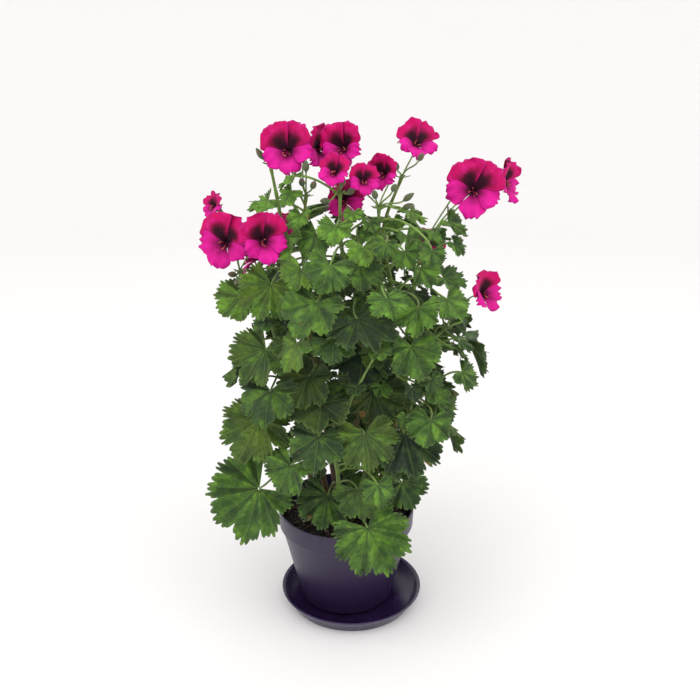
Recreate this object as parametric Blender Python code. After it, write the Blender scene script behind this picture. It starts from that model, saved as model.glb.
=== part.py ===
"""A regal pelargonium in flower, in a black nursery pot on a saucer.

Places and sizes are in millimetres, +Z up, with the origin under the middle of the saucer, and
they become metres where a mesh is made. Leaves and flowers are placed by the pixel of the
700 x 700 photograph that shows their middle and by their depth toward the back (+Y).
Each leafy stem is one solid with its leaves, flower stalks, calyces and buds. Each flower is one
corolla of five petals, seated on its calyx.
"""
import math
import random

import bpy
import numpy as np
from mathutils import Matrix, Vector
from mathutils.bvhtree import BVHTree

MM = 0.001
GAP = 0.3  # between neighbouring solids
UP = Vector((0, 0, 1))

# The view that the photo was taken from
EYE = Vector((-1.3, -722, 500))
PITCH = math.radians(18.7)
FOCAL_PX = 850
MIDDLE_PX = 350

# Saucer: underside at z = 0
SAUCER_R = 68
SAUCER_FOOT_R = 58.5
SAUCER_H = 15
SAUCER_WALL = 1.6

# Nursery pot of the 13 cm size, standing a little off the saucer's middle
POT_X, POT_Y = -5, 6
POT_FLOOR_Z = SAUCER_WALL + GAP
POT_RIM_R = 65
POT_TOP_Z = 98
POT_BAND_H = 19
POT_BAND_STEP = 2.2
POT_FOOT_R = 45.5
POT_WALL = 1.2
POT_FLOOR = 1.6
TURNS = 32  # sides of the turned pieces

# Soil
SOIL_TOP_Z = 85
HOLE_FLOOR_Z = 50

# Plant
STEM_R, STEM_TIP_R, KNOT_R = 2.6, 1.5, 2.3
SITE_SPACING = 6  # between the places on a stem that can bear a leaf
PETIOLE_R = 1.15
PEDICEL_R = 0.8
BLADE = 0.85  # thickness of a leaf
PETAL = 0.8  # thickness of a petal
CLEAR = 1.1  # room kept round a leaf
TOOTHED_WIDTH = 29
LEAF_FAN = math.radians(134)  # from the midrib to the sinus
CALYX_R = 2.4
BUD_R = 2.6

# Petals: the angle of each one's middle and its length, points of its edge as shares of its half
# angle and length, and the length where two meet
PETALS = ((54, 1.02), (126, 1.0), (198, 0.9), (270, 0.94), (342, 0.9))
PETAL_EDGE = ((-0.88, 0.84), (-0.5, 0.99), (-0.06, 0.96), (0.42, 1.01), (0.88, 0.86))
PETAL_NOTCH = 0.58


def seen(u, v, depth):
    """The place at this depth that the photo shows at pixel (u, v)."""
    away = depth - EYE.y
    drop = away * math.tan(math.atan((MIDDLE_PX - v) / FOCAL_PX) - PITCH)
    forward = away * math.cos(PITCH) - drop * math.sin(PITCH)
    return Vector((EYE.x + (u - MIDDLE_PX) * forward / FOCAL_PX, depth, EYE.z + drop))


def at(x, y, z):
    return Vector((x, y, z))


# Leafy stems: name, root from the pot's middle, points that the stem passes, and whether its end
# is the knot of an umbel
STEMS = (
    ("stem_left", (-25, -6), (seen(276, 337, -18), seen(257, 303, -24), seen(240, 270, -28)), True),
    ("stem_left_top", (-15, 9), (seen(288, 330, -2), seen(282, 230, -8), seen(270, 163, -8)), True),
    ("stem_mid_left", (-5, -13),
     (seen(309, 320, -20), seen(304, 240, -22), seen(306, 195, -24)), True),
    ("stem_mid", (5, 2), (seen(360, 310, -20), seen(342, 250, -24), seen(340, 192, -28)), True),
    ("stem_mid_right", (15, -12),
     (seen(380, 320, -26), seen(378, 250, -32), seen(379, 207, -36)), True),
    ("stem_right_top", (13, 14), (seen(391, 320, 8), seen(383, 235, 4), seen(402, 176, 2)), True),
    ("stem_right", (26, 0), (seen(414, 340, 0), seen(414, 290, -6), seen(422, 248, -10)), True),
    ("stem_far_right", (29, 13), (seen(412, 400, 6), seen(424, 352, 0), seen(446, 327, -6)), True),
    ("stem_back_left", (-20, 26), (at(-38, 52, 200), at(-52, 66, 290), at(-60, 74, 334)), True),
    ("stem_back", (2, 29), (at(2, 52, 220), at(4, 70, 310), at(6, 76, 352)), False),
    ("stem_back_right", (22, 27), (at(46, 48, 200), at(58, 62, 290), at(66, 70, 328)), True),
    ("stem_front", (-4, -31), (at(-10, -40, 130), at(-14, -52, 180), at(-14, -56, 222)), False),
    ("stem_left_low", (-34, 8), (at(-52, -2, 130), at(-70, -14, 180), at(-78, -20, 222)), False),
    ("stem_right_low", (30, -17), (at(38, -26, 130), at(46, -40, 180), at(50, -44, 222)), False),
)

# Flowers: name, pixel and depth of the throat, radius, the way the flower faces (degrees to the
# right of the viewer and above level), the stem that bears it
BLOOMS = (
    ("bloom_top_left", 289, 152, -16, 23, -14, 20, "stem_left_top"),
    ("bloom_top_left_side", 316, 149, -2, 20, 44, 8, "stem_mid_left"),
    ("bloom_top_mid", 345, 149, -14, 20, -24, 16, "stem_mid"),
    ("bloom_mid_low", 336, 174, -42, 14, -20, 30, "stem_mid"),
    ("bloom_mid_right", 362, 182, -36, 14, 20, 28, "stem_mid_right"),
    ("bloom_mid_side", 385, 175, -14, 15, -30, 20, "stem_mid_right"),
    ("bloom_hanging", 341, 200, -8, 19, 12, -12, "stem_mid"),
    ("bloom_top_right", 416, 146, -6, 19, 10, 44, "stem_right_top"),
    ("bloom_right", 473, 191, -22, 25, -4, 20, "stem_right"),
    ("bloom_right_side", 500, 183, 6, 20, 62, 14, "stem_right"),
    ("bloom_far_right", 480, 294, -18, 19, 42, 24, "stem_far_right"),
    ("bloom_left", 227, 243, -34, 24, -20, 16, "stem_left"),
    ("bloom_left_mid", 263, 241, -54, 21, 16, 18, "stem_left"),
    ("bloom_left_half_open", 216, 208, -14, 12, -50, 30, "stem_left"),
)
BACK_BLOOMS = (
    ("bloom_back_left", at(-66, 96, 338), 22, 205, 30, "stem_back_left"),
    ("bloom_back_left_side", at(-88, 74, 322), 20, -105, 25, "stem_back_left"),
    ("bloom_back_right", at(70, 92, 326), 22, 160, 30, "stem_back_right"),
)

# Buds: pixel and depth of the tip, length, stem
BUDS = (
    (256, 148, -14, 11, "stem_left_top"),
    (306, 160, -32, 10, "stem_mid_left"),
    (301, 178, -36, 8, "stem_mid_left"),
    (315, 181, -40, 9, "stem_mid_left"),
    (320, 201, -44, 10, "stem_mid"),
    (355, 188, -50, 11, "stem_mid"),
    (343, 178, -54, 9, "stem_mid"),
    (374, 190, -50, 9, "stem_mid_right"),
    (396, 184, -58, 8, "stem_mid_right"),
    (414, 193, -48, 11, "stem_mid_right"),
    (414, 204, -40, 10, "stem_mid_right"),
    (395, 162, -14, 9, "stem_right_top"),
    (423, 153, -20, 9, "stem_right_top"),
    (472, 158, 4, 12, "stem_right"),
    (461, 292, -26, 9, "stem_far_right"),
    (236, 284, -50, 12, "stem_left"),
    (248, 286, -48, 11, "stem_left"),
    (228, 274, -40, 10, "stem_left"),
)

# Leaves: pixel and depth of the middle, width, degrees that the face looks above level, degrees
# that it turns to the right of straight out of the plant, clockwise roll of the tip
LEAVES = (
    (246, 498, -64, 77, 36, 34, 50),
    (374, 541, -84, 68, 26, -12, -28),
    (253, 430, -66, 61, 41, 24, 20),
    (408, 447, -76, 65, 33, -14, -10),
    (258, 358, -66, 54, 45, 24, 30),
    (268, 401, -80, 50, 38, 14, 0),
    (293, 352, -92, 38, 26, -36, 10),
    (310, 312, -88, 50, 40, 0, 20),
    (362, 328, -92, 56, 57, 0, -20),
    (415, 356, -78, 46, 38, 0, -10),
    (333, 346, -104, 36, 34, 10, 0),
    (235, 302, -46, 41, 38, 20, 35),
    (267, 295, -56, 53, 31, 40, 20),
    (452, 305, -66, 35, 46, -10, -20),
    (417, 316, -90, 37, 31, -38, 0),
    (389, 305, -98, 31, 43, 0, -10),
    (463, 344, -50, 24, 26, 44, -20),
    (467, 376, -52, 30, 40, 0, -35),
    (429, 428, -92, 37, 29, -50, 0),
    (443, 407, -62, 34, 43, 0, -20),
    (286, 473, -90, 42, 36, 0, 20),
    (317, 447, -86, 50, 33, 0, 10),
    (367, 445, -84, 53, 29, 0, -10),
    (392, 470, -100, 26, 34, 0, 0),
    (325, 506, -50, 54, 24, 10, 20),
    (362, 498, -58, 53, 26, 0, -20),
    (379, 491, -90, 29, 38, 0, -10),
    (406, 490, -66, 43, 46, 0, -25),
    (264, 323, -80, 26, 43, 0, 10),
    (299, 276, -74, 32, 36, 0, 10),
    (327, 274, -64, 42, 41, 0, 0),
    (360, 273, -70, 37, 53, 0, 0),
    (419, 296, -62, 33, 57, 0, -10),
    (424, 274, -52, 32, 38, 0, -10),
    (451, 281, -42, 36, 57, 0, -30),
    (305, 385, -76, 47, 48, 0, 10),
    (320, 412, -72, 48, 57, 0, 0),
    (434, 384, -70, 24, 34, 0, -20),
    (362, 362, -52, 50, 29, 0, 10),
    (378, 400, -56, 53, 31, 0, -10),
    (282, 243, -48, 37, 40, 0, 20),
    (313, 241, -52, 37, 29, 0, 10),
    (335, 232, -62, 30, 45, 0, 0),
    (364, 253, -72, 28, 50, 0, -10),
    (411, 242, -50, 30, 34, 30, -10),
    (407, 257, -62, 26, 17, 0, -20),
    (454, 226, -18, 32, 50, 0, -30),
    (457, 247, -28, 22, 40, 0, -20),
    (435, 236, -40, 17, 43, 0, 0),
    (431, 256, -46, 26, 43, 0, -10),
    (263, 204, -26, 28, 50, 0, 30),
    (288, 196, -32, 26, 48, 0, 10),
    (289, 180, -18, 24, 58, 0, 0),
    (299, 218, -48, 20, 43, 0, 0),
    (353, 216, -50, 17, 48, 0, 0),
    (371, 226, -34, 17, 43, 0, 0),
    (394, 225, -44, 20, 40, 0, -10),
    (414, 216, -28, 28, 48, 0, -10),
    (369, 237, -54, 17, 45, 0, 0),
    (385, 248, -48, 22, 38, 0, -10),
)

# Leaves that the photo doesn't show, spread by a spiral over the crown's back and its inside
CROWN = at(4, 2, 258)
CROWN_R = (108, 104, 136)
SPIRAL_LEAVES = 70
SPIRAL_FRONT_Y = -8
SPIRAL_WIDTH = (46, 68)
GOLDEN = math.radians(137.508)

# Gaps through which the photo shows its pale background
LIGHT_GAPS = ((258, 463), (316, 328), (398, 341), (378, 426), (375, 473), (300, 398), (226, 330),
              (440, 200), (300, 205), (325, 215), (476, 240), (470, 420), (230, 190), (440, 324),
              (444, 352), (455, 400), (452, 440), (480, 340), (228, 392), (222, 340), (425, 478))

TRIES = 90
SEED = 7


def material(name, colour, roughness):
    made = bpy.data.materials.new(name)
    made.use_nodes = True
    shader = made.node_tree.nodes["Principled BSDF"]
    shader.inputs["Base Color"].default_value = (*colour, 1)
    shader.inputs["Roughness"].default_value = roughness
    made.diffuse_color = (*colour, 1)
    return made


def solid(name, points, faces, look):
    """An object made from points in millimetres."""
    mesh = bpy.data.meshes.new(name)
    mesh.from_pydata([p * MM for p in points], [], faces)
    mesh.update()
    made = bpy.data.objects.new(name, mesh)
    bpy.context.scene.collection.objects.link(made)
    mesh.materials.append(look)
    return made


def settle(body):
    """Apply an object's modifiers."""
    graph = bpy.context.evaluated_depsgraph_get()
    mesh = bpy.data.meshes.new_from_object(body.evaluated_get(graph))
    body.modifiers.clear()
    body.data = mesh


def combine(body, others, operation, solver="EXACT"):
    """Join the others to the body, or cut them from it, and remove them."""
    group = bpy.data.collections.new(body.name + "_others")
    for other in others:
        group.objects.link(other)
    join = body.modifiers.new("combine", "BOOLEAN")
    join.operation = operation
    join.operand_type = "COLLECTION"
    join.collection = group
    join.solver = solver
    settle(body)
    for other in others:
        bpy.data.objects.remove(other)
    bpy.data.collections.remove(group)


def turned(profile, x, y):
    """Points and faces of a closed profile of (radius, z), turned about a vertical axis. It runs
    up the outside and down the inside, and flat ends close it."""
    points, faces = [], []
    for radius, z in profile:
        for k in range(TURNS):
            angle = math.tau * k / TURNS
            points.append(at(x + radius * math.cos(angle), y + radius * math.sin(angle), z))
    for k in range(TURNS):
        after = (k + 1) % TURNS
        for ring in range(len(profile) - 1):
            low, high = ring * TURNS, (ring + 1) * TURNS
            faces.append((low + k, low + after, high + after, high + k))
    faces.append(tuple(reversed(range(TURNS))))
    faces.append(tuple(range(len(points) - TURNS, len(points))))
    return points, faces


def tube(path, radii, sides):
    """A closed tube through the path's points, one radius a point; a last radius of 0 is a tip."""
    points, faces = [], []
    side = Vector((1, 0.2, 0.1))
    for i, (centre, radius) in enumerate(zip(path, radii)):
        along = (path[min(i + 1, len(path) - 1)] - path[max(i - 1, 0)]).normalized()
        side = (side - along * side.dot(along)).normalized()
        across = along.cross(side)
        if radius == 0:
            points.append(centre)
            continue
        for k in range(sides):
            angle = math.tau * k / sides
            points.append(centre + radius * (side * math.cos(angle) + across * math.sin(angle)))
    rings = len(radii) - (radii[-1] == 0)
    for k in range(sides):
        after = (k + 1) % sides
        for ring in range(rings - 1):
            low, high = ring * sides, (ring + 1) * sides
            faces.append((low + k, low + after, high + after))
            faces.append((low + k, high + after, high + k))
        if radii[-1] == 0:
            faces.append(((rings - 1) * sides + k, (rings - 1) * sides + after, rings * sides))
    faces.append(tuple(reversed(range(sides))))
    if radii[-1] != 0:
        faces.append(tuple(range((rings - 1) * sides, rings * sides)))
    return points, faces


def sheet(hub, ring, thickness, closed):
    """A thin solid of triangles from a hub to a ring of points, alike on both faces. The ring
    goes all round the hub if it is closed; otherwise the edge stays open beside the hub."""
    outline = [hub, *ring]
    count = len(outline)
    half = UP * thickness / 2
    points = [p + half for p in outline] + [p - half for p in outline]
    edge = [(i, i + 1) for i in range(1, count - 1)] + ([(count - 1, 1)] if closed else [])
    faces = []
    for a, b in edge:
        faces += [(0, a, b), (count, count + b, count + a),
                  (b, a, count + a), (b, count + a, count + b)]
    return points, faces


def with_stalk(piece, path, up):
    """A blade and the stalk that runs along a path to its sinus, as one closed solid. Each ring
    of the stalk has a point above, right of, below and left of the path, and its last ring is
    the sinus between the two sides of the blade's edge."""
    points, faces = list(piece[0]), list(piece[1])
    count = len(points) // 2
    sinus = (points[0] + points[count]) / 2
    right, left, last = len(points), len(points) + 1, count - 1
    for k in (1, last):
        edge = (points[k] + points[k + count]) / 2 - sinus
        points.append(sinus + edge.normalized() * PETIOLE_R * 1.4)
    faces += [(1, 0, right), (1, right, count + 1), (right, count, count + 1),
              (0, last, left), (last, last + count, left), (last + count, count, left)]
    high = (0, right, count, left)
    for i in range(len(path) - 2, -1, -1):
        along = (path[i + 1] - path[max(i - 1, 0)]).normalized()
        up = (up - along * up.dot(along)).normalized()
        side = along.cross(up)
        low = tuple(range(len(points), len(points) + 4))
        points += [path[i] + way * PETIOLE_R for way in (up, side, -up, -side)]
        for k in range(4):
            after = (k + 1) % 4
            faces += [(low[k], low[after], high[after]), (low[k], high[after], high[k])]
        high = low
    faces.append(tuple(reversed(high)))
    return points, faces


def smooth_path(knots, steps):
    """Points along a smooth curve through the knots."""
    ends = [knots[0] * 2 - knots[1], *knots, knots[-1] * 2 - knots[-2]]
    path = []
    for i in range(len(knots) - 1):
        a, b, c, d = ends[i:i + 4]
        for step in range(steps):
            t = step / steps
            path.append(0.5 * (2 * b + (c - a) * t + (2 * a - 5 * b + 4 * c - d) * t ** 2
                               + (3 * b - a - 3 * c + d) * t ** 3))
    return path + [knots[-1]]


def arc(start, start_pull, end_pull, end, steps):
    """Points along a cubic curve."""
    path = []
    for step in range(steps + 1):
        t = step / steps
        path.append(start * (1 - t) ** 3 + start_pull * 3 * t * (1 - t) ** 2
                    + end_pull * 3 * t ** 2 * (1 - t) + end * t ** 3)
    return path


def facing(azimuth, lift, roll):
    """Turn of a piece whose face is +Z and whose tip is +Y, in degrees. Azimuth 0 looks at the
    viewer and 90 to the right; the tip hangs down and out until it is rolled clockwise."""
    azimuth, lift = math.radians(azimuth), math.radians(lift)
    out = Vector((math.sin(azimuth), -math.cos(azimuth), 0))
    face = out * math.cos(lift) + UP * math.sin(lift)
    tip = out * math.sin(lift) - UP * math.cos(lift)
    tip = Matrix.Rotation(-math.radians(roll), 3, face) @ tip
    return Matrix((tip.cross(face), tip, face)).transposed()


def leaf_reach(phi):
    """Length of the blade at an angle from its midrib, where the midrib is 1."""
    return 0.55 + 0.45 * math.cos(0.62 * phi)


def leaf_margin(lobes, toothed):
    """Angle, length and pleat of each point of the margin, from one side of the sinus round."""
    margin = []
    step = 2 * LEAF_FAN / lobes
    for lobe in range(lobes + 1):
        start = -LEAF_FAN + lobe * step
        at_base = lobe in (0, lobes)
        margin.append((start, 0.88 if at_base else 0.84, 0.5 if at_base else 1))
        if lobe == lobes:
            break
        if toothed:
            margin.append((start + 0.24 * step, 0.95, 0.2))
        margin.append((start + 0.5 * step, 1.02, -1))
        if toothed:
            margin.append((start + 0.76 * step, 0.95, 0.2))
    return [(phi, reach * leaf_reach(phi), pleat) for phi, reach, pleat in margin]


def blade(width, cup, phase, toothed, room=0):
    """A leaf blade whose sinus is at the origin: points and faces, +Y to the tip, +Z up."""
    length = width / 1.64
    ring = []
    for phi, reach, pleat in leaf_margin(7 if width > 50 else 5, toothed):
        height = (cup * reach ** 2 + 0.045 * pleat + 0.05 * math.sin(2 * phi + phase)
                  - 0.12 * max(0, math.cos(phi)) ** 2)
        out = length * reach + room
        ring.append(Vector((-out * math.sin(phi), out * math.cos(phi), length * height)))
    return sheet(Vector((0, -room, 0)), ring, BLADE + 2 * room, False)


def corolla(radius, phase, room=0):
    """Five petals round a throat at the origin: +Z out of the flower, +Y up."""
    ring = []
    for k, (middle, length) in enumerate(PETALS):
        for s, reach in PETAL_EDGE:
            phi = math.radians(middle + 36 * s)
            out = radius * length * reach + room
            wave = 0.09 * math.sin(7 * phi + phase) + 0.05 * (-1) ** k
            ring.append(Vector((out * math.cos(phi), out * math.sin(phi), radius * (0.34 + wave))))
        notch = math.radians(middle + 36)
        out = radius * PETAL_NOTCH + room
        ring.append(Vector((out * math.cos(notch), out * math.sin(notch), radius * 0.26)))
    return sheet(Vector((0, 0, 0)), ring, PETAL + 2 * room, True)


def moved(piece, turn, place):
    points, faces = piece
    return [turn @ p + place for p in points], faces


class Obstacle:
    """A placed piece that later ones keep clear of."""

    def __init__(self, piece, kind, node):
        points, faces = piece
        self.tree = BVHTree.FromPolygons(points, faces)
        self.low = np.min(points, axis=0)
        self.high = np.max(points, axis=0)
        self.kind, self.node = kind, node

    def meets(self, other):
        if np.any(self.low > other.high) or np.any(other.low > self.high):
            return False
        return bool(self.tree.overlap(other.tree))


class Plant:
    """Pieces of each node and what is already placed."""

    def __init__(self):
        self.pieces = {}
        self.placed = []
        self.ends = {}
        self.sites = []
        self.rng = random.Random(SEED)

    def add(self, node, piece, kind, room_piece=None):
        self.pieces.setdefault(node, []).append(piece)
        self.placed.append(Obstacle(room_piece or piece, kind, node))

    def is_clear(self, piece, kind, node):
        test = Obstacle(piece, kind, node)
        for other in self.placed:
            same_stalks = other.node == node and kind != "blade" and other.kind in ("stem", "stalk")
            if not same_stalks and test.meets(other):
                return False
        return True


def grow_stems(plant):
    for name, (x, y), knots, has_umbel in STEMS:
        root = at(POT_X + x, POT_Y + y, 0)
        foot = root + UP * (HOLE_FLOOR_Z + GAP)
        path = [foot, *smooth_path([root + UP * (SOIL_TOP_Z + 3), *knots], 2)]
        radii = [STEM_R + (STEM_TIP_R - STEM_R) * (i / (len(path) - 1)) ** 1.5
                 for i in range(len(path))]
        if has_umbel:
            radii[-1] = KNOT_R
        plant.ends[name] = path[-1]
        for a, b in zip(path[1:-1], path[2:]):
            count = max(1, round((b - a).length / SITE_SPACING))
            plant.sites += [(name, a.lerp(b, (k + 0.5) / count)) for k in range(count)]
        plant.add(name, tube(path, radii, 5), "stem", tube(path, [r + CLEAR for r in radii], 5))


def grow_pedicel(plant, node, end, direction, end_shape):
    """A stalk from the stem's end that reaches its end along a direction, then the end's own
    rings of (distance past the end, radius). It bends until it is clear."""
    rng = plant.rng
    knot = plant.ends[node] - UP * 0.5
    reach = (end - knot).length
    away = ((end - knot) * Vector((1, 1, 0.5))).normalized()
    for attempt in range(TRIES):
        ease = attempt / TRIES
        sway = Vector([rng.uniform(-1, 1) for _ in range(3)]) * reach * 0.5 * ease
        pull = 0.35 * (1 - ease * rng.random())
        path = arc(knot, knot + (UP + away).normalized() * reach * pull * 1.1 + sway,
                   end - direction * reach * pull, end, 2)
        radii = [PEDICEL_R] * len(path)
        for distance, radius in end_shape:
            path.append(end + direction * distance)
            radii.append(radius)
        wide = tube(path, [r + 0.5 if r else 0 for r in radii], 4)
        piece = tube(path, radii, 4)
        if not crosses_itself(piece) and plant.is_clear(wide, "stalk", node):
            plant.add(node, piece, "stalk", wide)
            return True
    return False


def grow_bloom(plant, name, wanted, radius, azimuth, lift, node):
    """A corolla and the calyx behind it, moved in depth until both are clear."""
    phase = plant.rng.uniform(0, math.tau)
    tilt = plant.rng.uniform(-14, 14)
    away = (wanted - EYE).normalized()
    calyx = ((1.5, CALYX_R * 0.8), (5, CALYX_R))
    for attempt in range(TRIES):
        ease = attempt / TRIES
        throat = wanted + away * plant.rng.uniform(-1, 1) * 30 * ease
        swing = [plant.rng.uniform(-1, 1) * 30 * ease for _ in range(2)]
        turn = facing(azimuth + swing[0], lift + swing[1], 180 + tilt)
        top = throat - turn.col[2] * (PETAL / 2 + GAP + 0.1)
        wide = moved(corolla(radius, phase, 0.8), turn, throat)
        if not plant.is_clear(wide, "petals", name):
            continue
        plant.add(name, moved(corolla(radius, phase), turn, throat), "petals")
        if grow_pedicel(plant, node, top - turn.col[2] * 5, turn.col[2], calyx):
            return
        plant.placed.pop()
        plant.pieces.pop(name)


def grow_flowers(plant):
    """Every flower and bud. The petals' nodes are the flowers' names."""
    for name, u, v, depth, *rest in BLOOMS:
        grow_bloom(plant, name, seen(u, v, depth), *rest)
    for bloom in BACK_BLOOMS:
        grow_bloom(plant, *bloom)
    for u, v, depth, length, node in BUDS:
        shape = ((length * 0.15, BUD_R * 0.8), (length * 0.5, BUD_R), (length * 0.85, BUD_R * 0.5),
                 (length, 0))
        for shift in range(0, 40, 3):
            tip = seen(u, v, depth + shift * (-1) ** shift)
            direction = ((tip - plant.ends[node]).normalized() + UP * 0.3).normalized()
            if grow_pedicel(plant, node, tip - direction * length, direction, shape):
                break


def stalk_path(start, sinus, turn):
    """The curve of a leaf's stalk, which reaches the sinus from behind and below."""
    reach = (sinus - start).length
    away = ((sinus - start) * Vector((1, 1, 0))).normalized()
    back = (turn.col[1] * 0.75 + turn.col[2] * 0.5).normalized()
    return arc(start, start + (away + UP * 0.9).normalized() * reach * 0.35,
               sinus - back * reach * 0.3, sinus, 3)


def sites_near(plant, sinus, width):
    """Places on the stems that could bear a leaf here, the likeliest first."""
    ideal = 18 + 0.5 * width
    found = []
    for k, (node, place) in enumerate(plant.sites):
        gap = (sinus - place).length
        if gap > 14:
            found.append((abs(gap - ideal) + 1.5 * max(0, place.z - sinus.z + 4), k))
    return [plant.sites[k] for _cost, k in sorted(found)[:9]]


def grow_leaf(plant, middle, width, azimuth, lift, roll, cup, toothed, keep_out):
    """Place a leaf as near as can be to its wanted place, bent clear of what is there."""
    rng = plant.rng
    phase = rng.uniform(0, math.tau)
    away = (middle - EYE).normalized()
    for attempt in range(TRIES):
        ease = attempt / TRIES
        shift = away * rng.uniform(-1, 1) * 42 * ease
        swing = [rng.uniform(-1, 1) * 44 * ease for _ in range(3)]
        size = width * (1 - 0.3 * ease * rng.random())
        turn = facing(azimuth + swing[0], lift + swing[1] * 0.7, roll + swing[2])
        sinus = middle + shift - turn.col[1] * (size / 1.64) * 0.3
        wide = moved(blade(size, cup, phase, toothed, CLEAR), turn, sinus)
        if any(point.z < 22 for point in wide[0]) or not plant.is_clear(wide, "blade", None):
            continue
        if keep_out and hides_gap(wide):
            continue
        for node, start in sites_near(plant, sinus, size):
            path = stalk_path(start, sinus, turn)
            leaf = with_stalk(moved(blade(size, cup, phase, toothed), turn, sinus), path,
                              turn.col[2])
            if (not crosses_itself(leaf)
                    and plant.is_clear(tube(path, [PETIOLE_R + 0.6] * 4, 4), "stalk", node)):
                plant.add(node, leaf, "blade", wide)
                plant.placed.append(Obstacle(tube(path, [PETIOLE_R + 0.5] * 4, 4), "stalk", node))
                plant.sites.remove((node, start))
                return


def crosses_itself(piece):
    points, faces = piece
    tree = BVHTree.FromPolygons(points, faces)
    return any(a < b and not set(faces[a]) & set(faces[b]) for a, b in tree.overlap(tree))


def hides_gap(piece):
    tree = BVHTree.FromPolygons(*piece)
    return any(tree.ray_cast(EYE, seen(u, v, 0) - EYE)[0] is not None for u, v in LIGHT_GAPS)


def azimuth_of(place):
    return math.degrees(math.atan2(place.x - CROWN.x, CROWN.y - place.y))


def grow_leaves(plant):
    for u, v, depth, width, lift, turn, roll in LEAVES:
        middle = seen(u, v, depth)
        cup = 0.16 if middle.z > 250 else 0.06
        grow_leaf(plant, middle, width, azimuth_of(middle) * 0.75 + turn, lift, roll, cup,
                  width > TOOTHED_WIDTH, False)
    for k in range(SPIRAL_LEAVES):
        height = 1 - (2 * k + 1) / SPIRAL_LEAVES
        shell = 0.96 if k % 3 else 0.62
        level = math.sqrt(1 - height ** 2)
        unit = Vector((level * math.cos(k * GOLDEN), level * math.sin(k * GOLDEN), height))
        middle = CROWN + unit * Vector(CROWN_R) * shell
        if middle.y < SPIRAL_FRONT_Y or middle.z < 120:
            continue
        width = plant.rng.uniform(*SPIRAL_WIDTH) * (0.75 if middle.z > 310 else 1)
        lift = 35 + 35 * max(0, height) + plant.rng.uniform(-8, 8)
        grow_leaf(plant, middle, width, azimuth_of(middle), lift, plant.rng.uniform(-30, 30),
                  0.1, False, True)


def make_plant(green, petal):
    plant = Plant()
    for piece in (pot_shape(), saucer_shape()):
        plant.placed.append(Obstacle(piece, "pot", "pot"))
    grow_stems(plant)
    grow_flowers(plant)
    grow_leaves(plant)
    for node, pieces in plant.pieces.items():
        look = petal if node.startswith("bloom") else green
        parts = [solid(node if i == 0 else f"{node}_{i}", *piece, look)
                 for i, piece in enumerate(pieces)]
        if len(parts) > 1:
            combine(parts[0], parts[1:], "UNION")
    return plant


def saucer_shape():
    inner = SAUCER_WALL
    profile = (
        (SAUCER_FOOT_R, 0), (SAUCER_R - 1.6, SAUCER_H - 2.6), (SAUCER_R, SAUCER_H - 1.2),
        (SAUCER_R - 0.8, SAUCER_H), (SAUCER_R - 3.4, SAUCER_H - 1.6), (SAUCER_FOOT_R - 1, inner),
    )
    return turned(profile, 0, 0)


def pot_wall_r(z):
    """The pot's outer radius below its rim band."""
    low, high = POT_FLOOR_Z + 8, POT_TOP_Z - POT_BAND_H
    top = POT_RIM_R - POT_BAND_STEP - 0.8
    return POT_FOOT_R + (top - POT_FOOT_R) * (z - low) / (high - low)


def pot_shape():
    band_z = POT_TOP_Z - POT_BAND_H
    low = POT_FLOOR_Z
    profile = (
        (POT_FOOT_R - 3.5, low), (POT_FOOT_R - 0.8, low + 3), (POT_FOOT_R, low + 8),
        (pot_wall_r(band_z), band_z), (POT_RIM_R - 0.8, band_z + 0.6), (POT_RIM_R, POT_TOP_Z - 0.7),
        (POT_RIM_R - 0.7, POT_TOP_Z), (POT_RIM_R - POT_WALL - 0.4, POT_TOP_Z - 0.4),
        (pot_inner_r(band_z), band_z), (pot_inner_r(low + 8), low + 8),
        (POT_FOOT_R - 5, low + POT_FLOOR),
    )
    return turned(profile, POT_X, POT_Y)


def pot_inner_r(z):
    return pot_wall_r(z) - POT_WALL


def make_pot(look):
    solid("pot", *pot_shape(), look)


def soil_shape():
    """A filling of the pot, with a rounded edge."""
    low = POT_FLOOR_Z + POT_FLOOR + GAP
    band_z = POT_TOP_Z - POT_BAND_H
    edge = pot_inner_r(band_z) - GAP - 0.1
    profile = (
        (POT_FOOT_R - 5.6, low), (pot_inner_r(POT_FLOOR_Z + 8) - GAP - 0.1, POT_FLOOR_Z + 8),
        (edge, band_z), (edge + 0.3, SOIL_TOP_Z - 1.2), (edge - 3, SOIL_TOP_Z),
    )
    return turned(profile, POT_X, POT_Y)


def make_soil(look):
    soil = solid("soil", *soil_shape(), look)
    holes = []
    sides = 6
    for name, (x, y), _knots, _umbel in STEMS:
        foot = at(POT_X + x, POT_Y + y, HOLE_FLOOR_Z)
        radius = (STEM_R + GAP + 0.05) / math.cos(math.pi / sides)
        path = [foot, foot + UP * (SOIL_TOP_Z + 10 - HOLE_FLOOR_Z)]
        holes.append(solid("hole_" + name, *tube(path, [radius] * 2, sides), look))
    combine(soil, holes, "DIFFERENCE")


def build():
    for old in list(bpy.data.objects):
        bpy.data.objects.remove(old)
    plastic = material("black_plastic", (0.055, 0.052, 0.06), 0.45)
    soil = material("soil", (0.035, 0.024, 0.02), 0.95)
    green = material("leaf", (0.13, 0.26, 0.07), 0.55)
    petal = material("petal", (0.62, 0.03, 0.19), 0.5)
    solid("saucer", *saucer_shape(), plastic)
    make_pot(plastic)
    make_soil(soil)
    return make_plant(green, petal)


PLANT = build()
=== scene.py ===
"""The looks of a regal pelargonium in flower, in a black nursery pot on a saucer.

The plant grows by the rules and the seed of the CAD part, in millimetres, so that each leaf and
flower shows where its solid stands. Coarse shapes decide what has room, and fine ones are shown.
"""
import math
import random

import bpy
import numpy as np
from mathutils import Matrix, Vector
from mathutils.bvhtree import BVHTree


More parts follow.
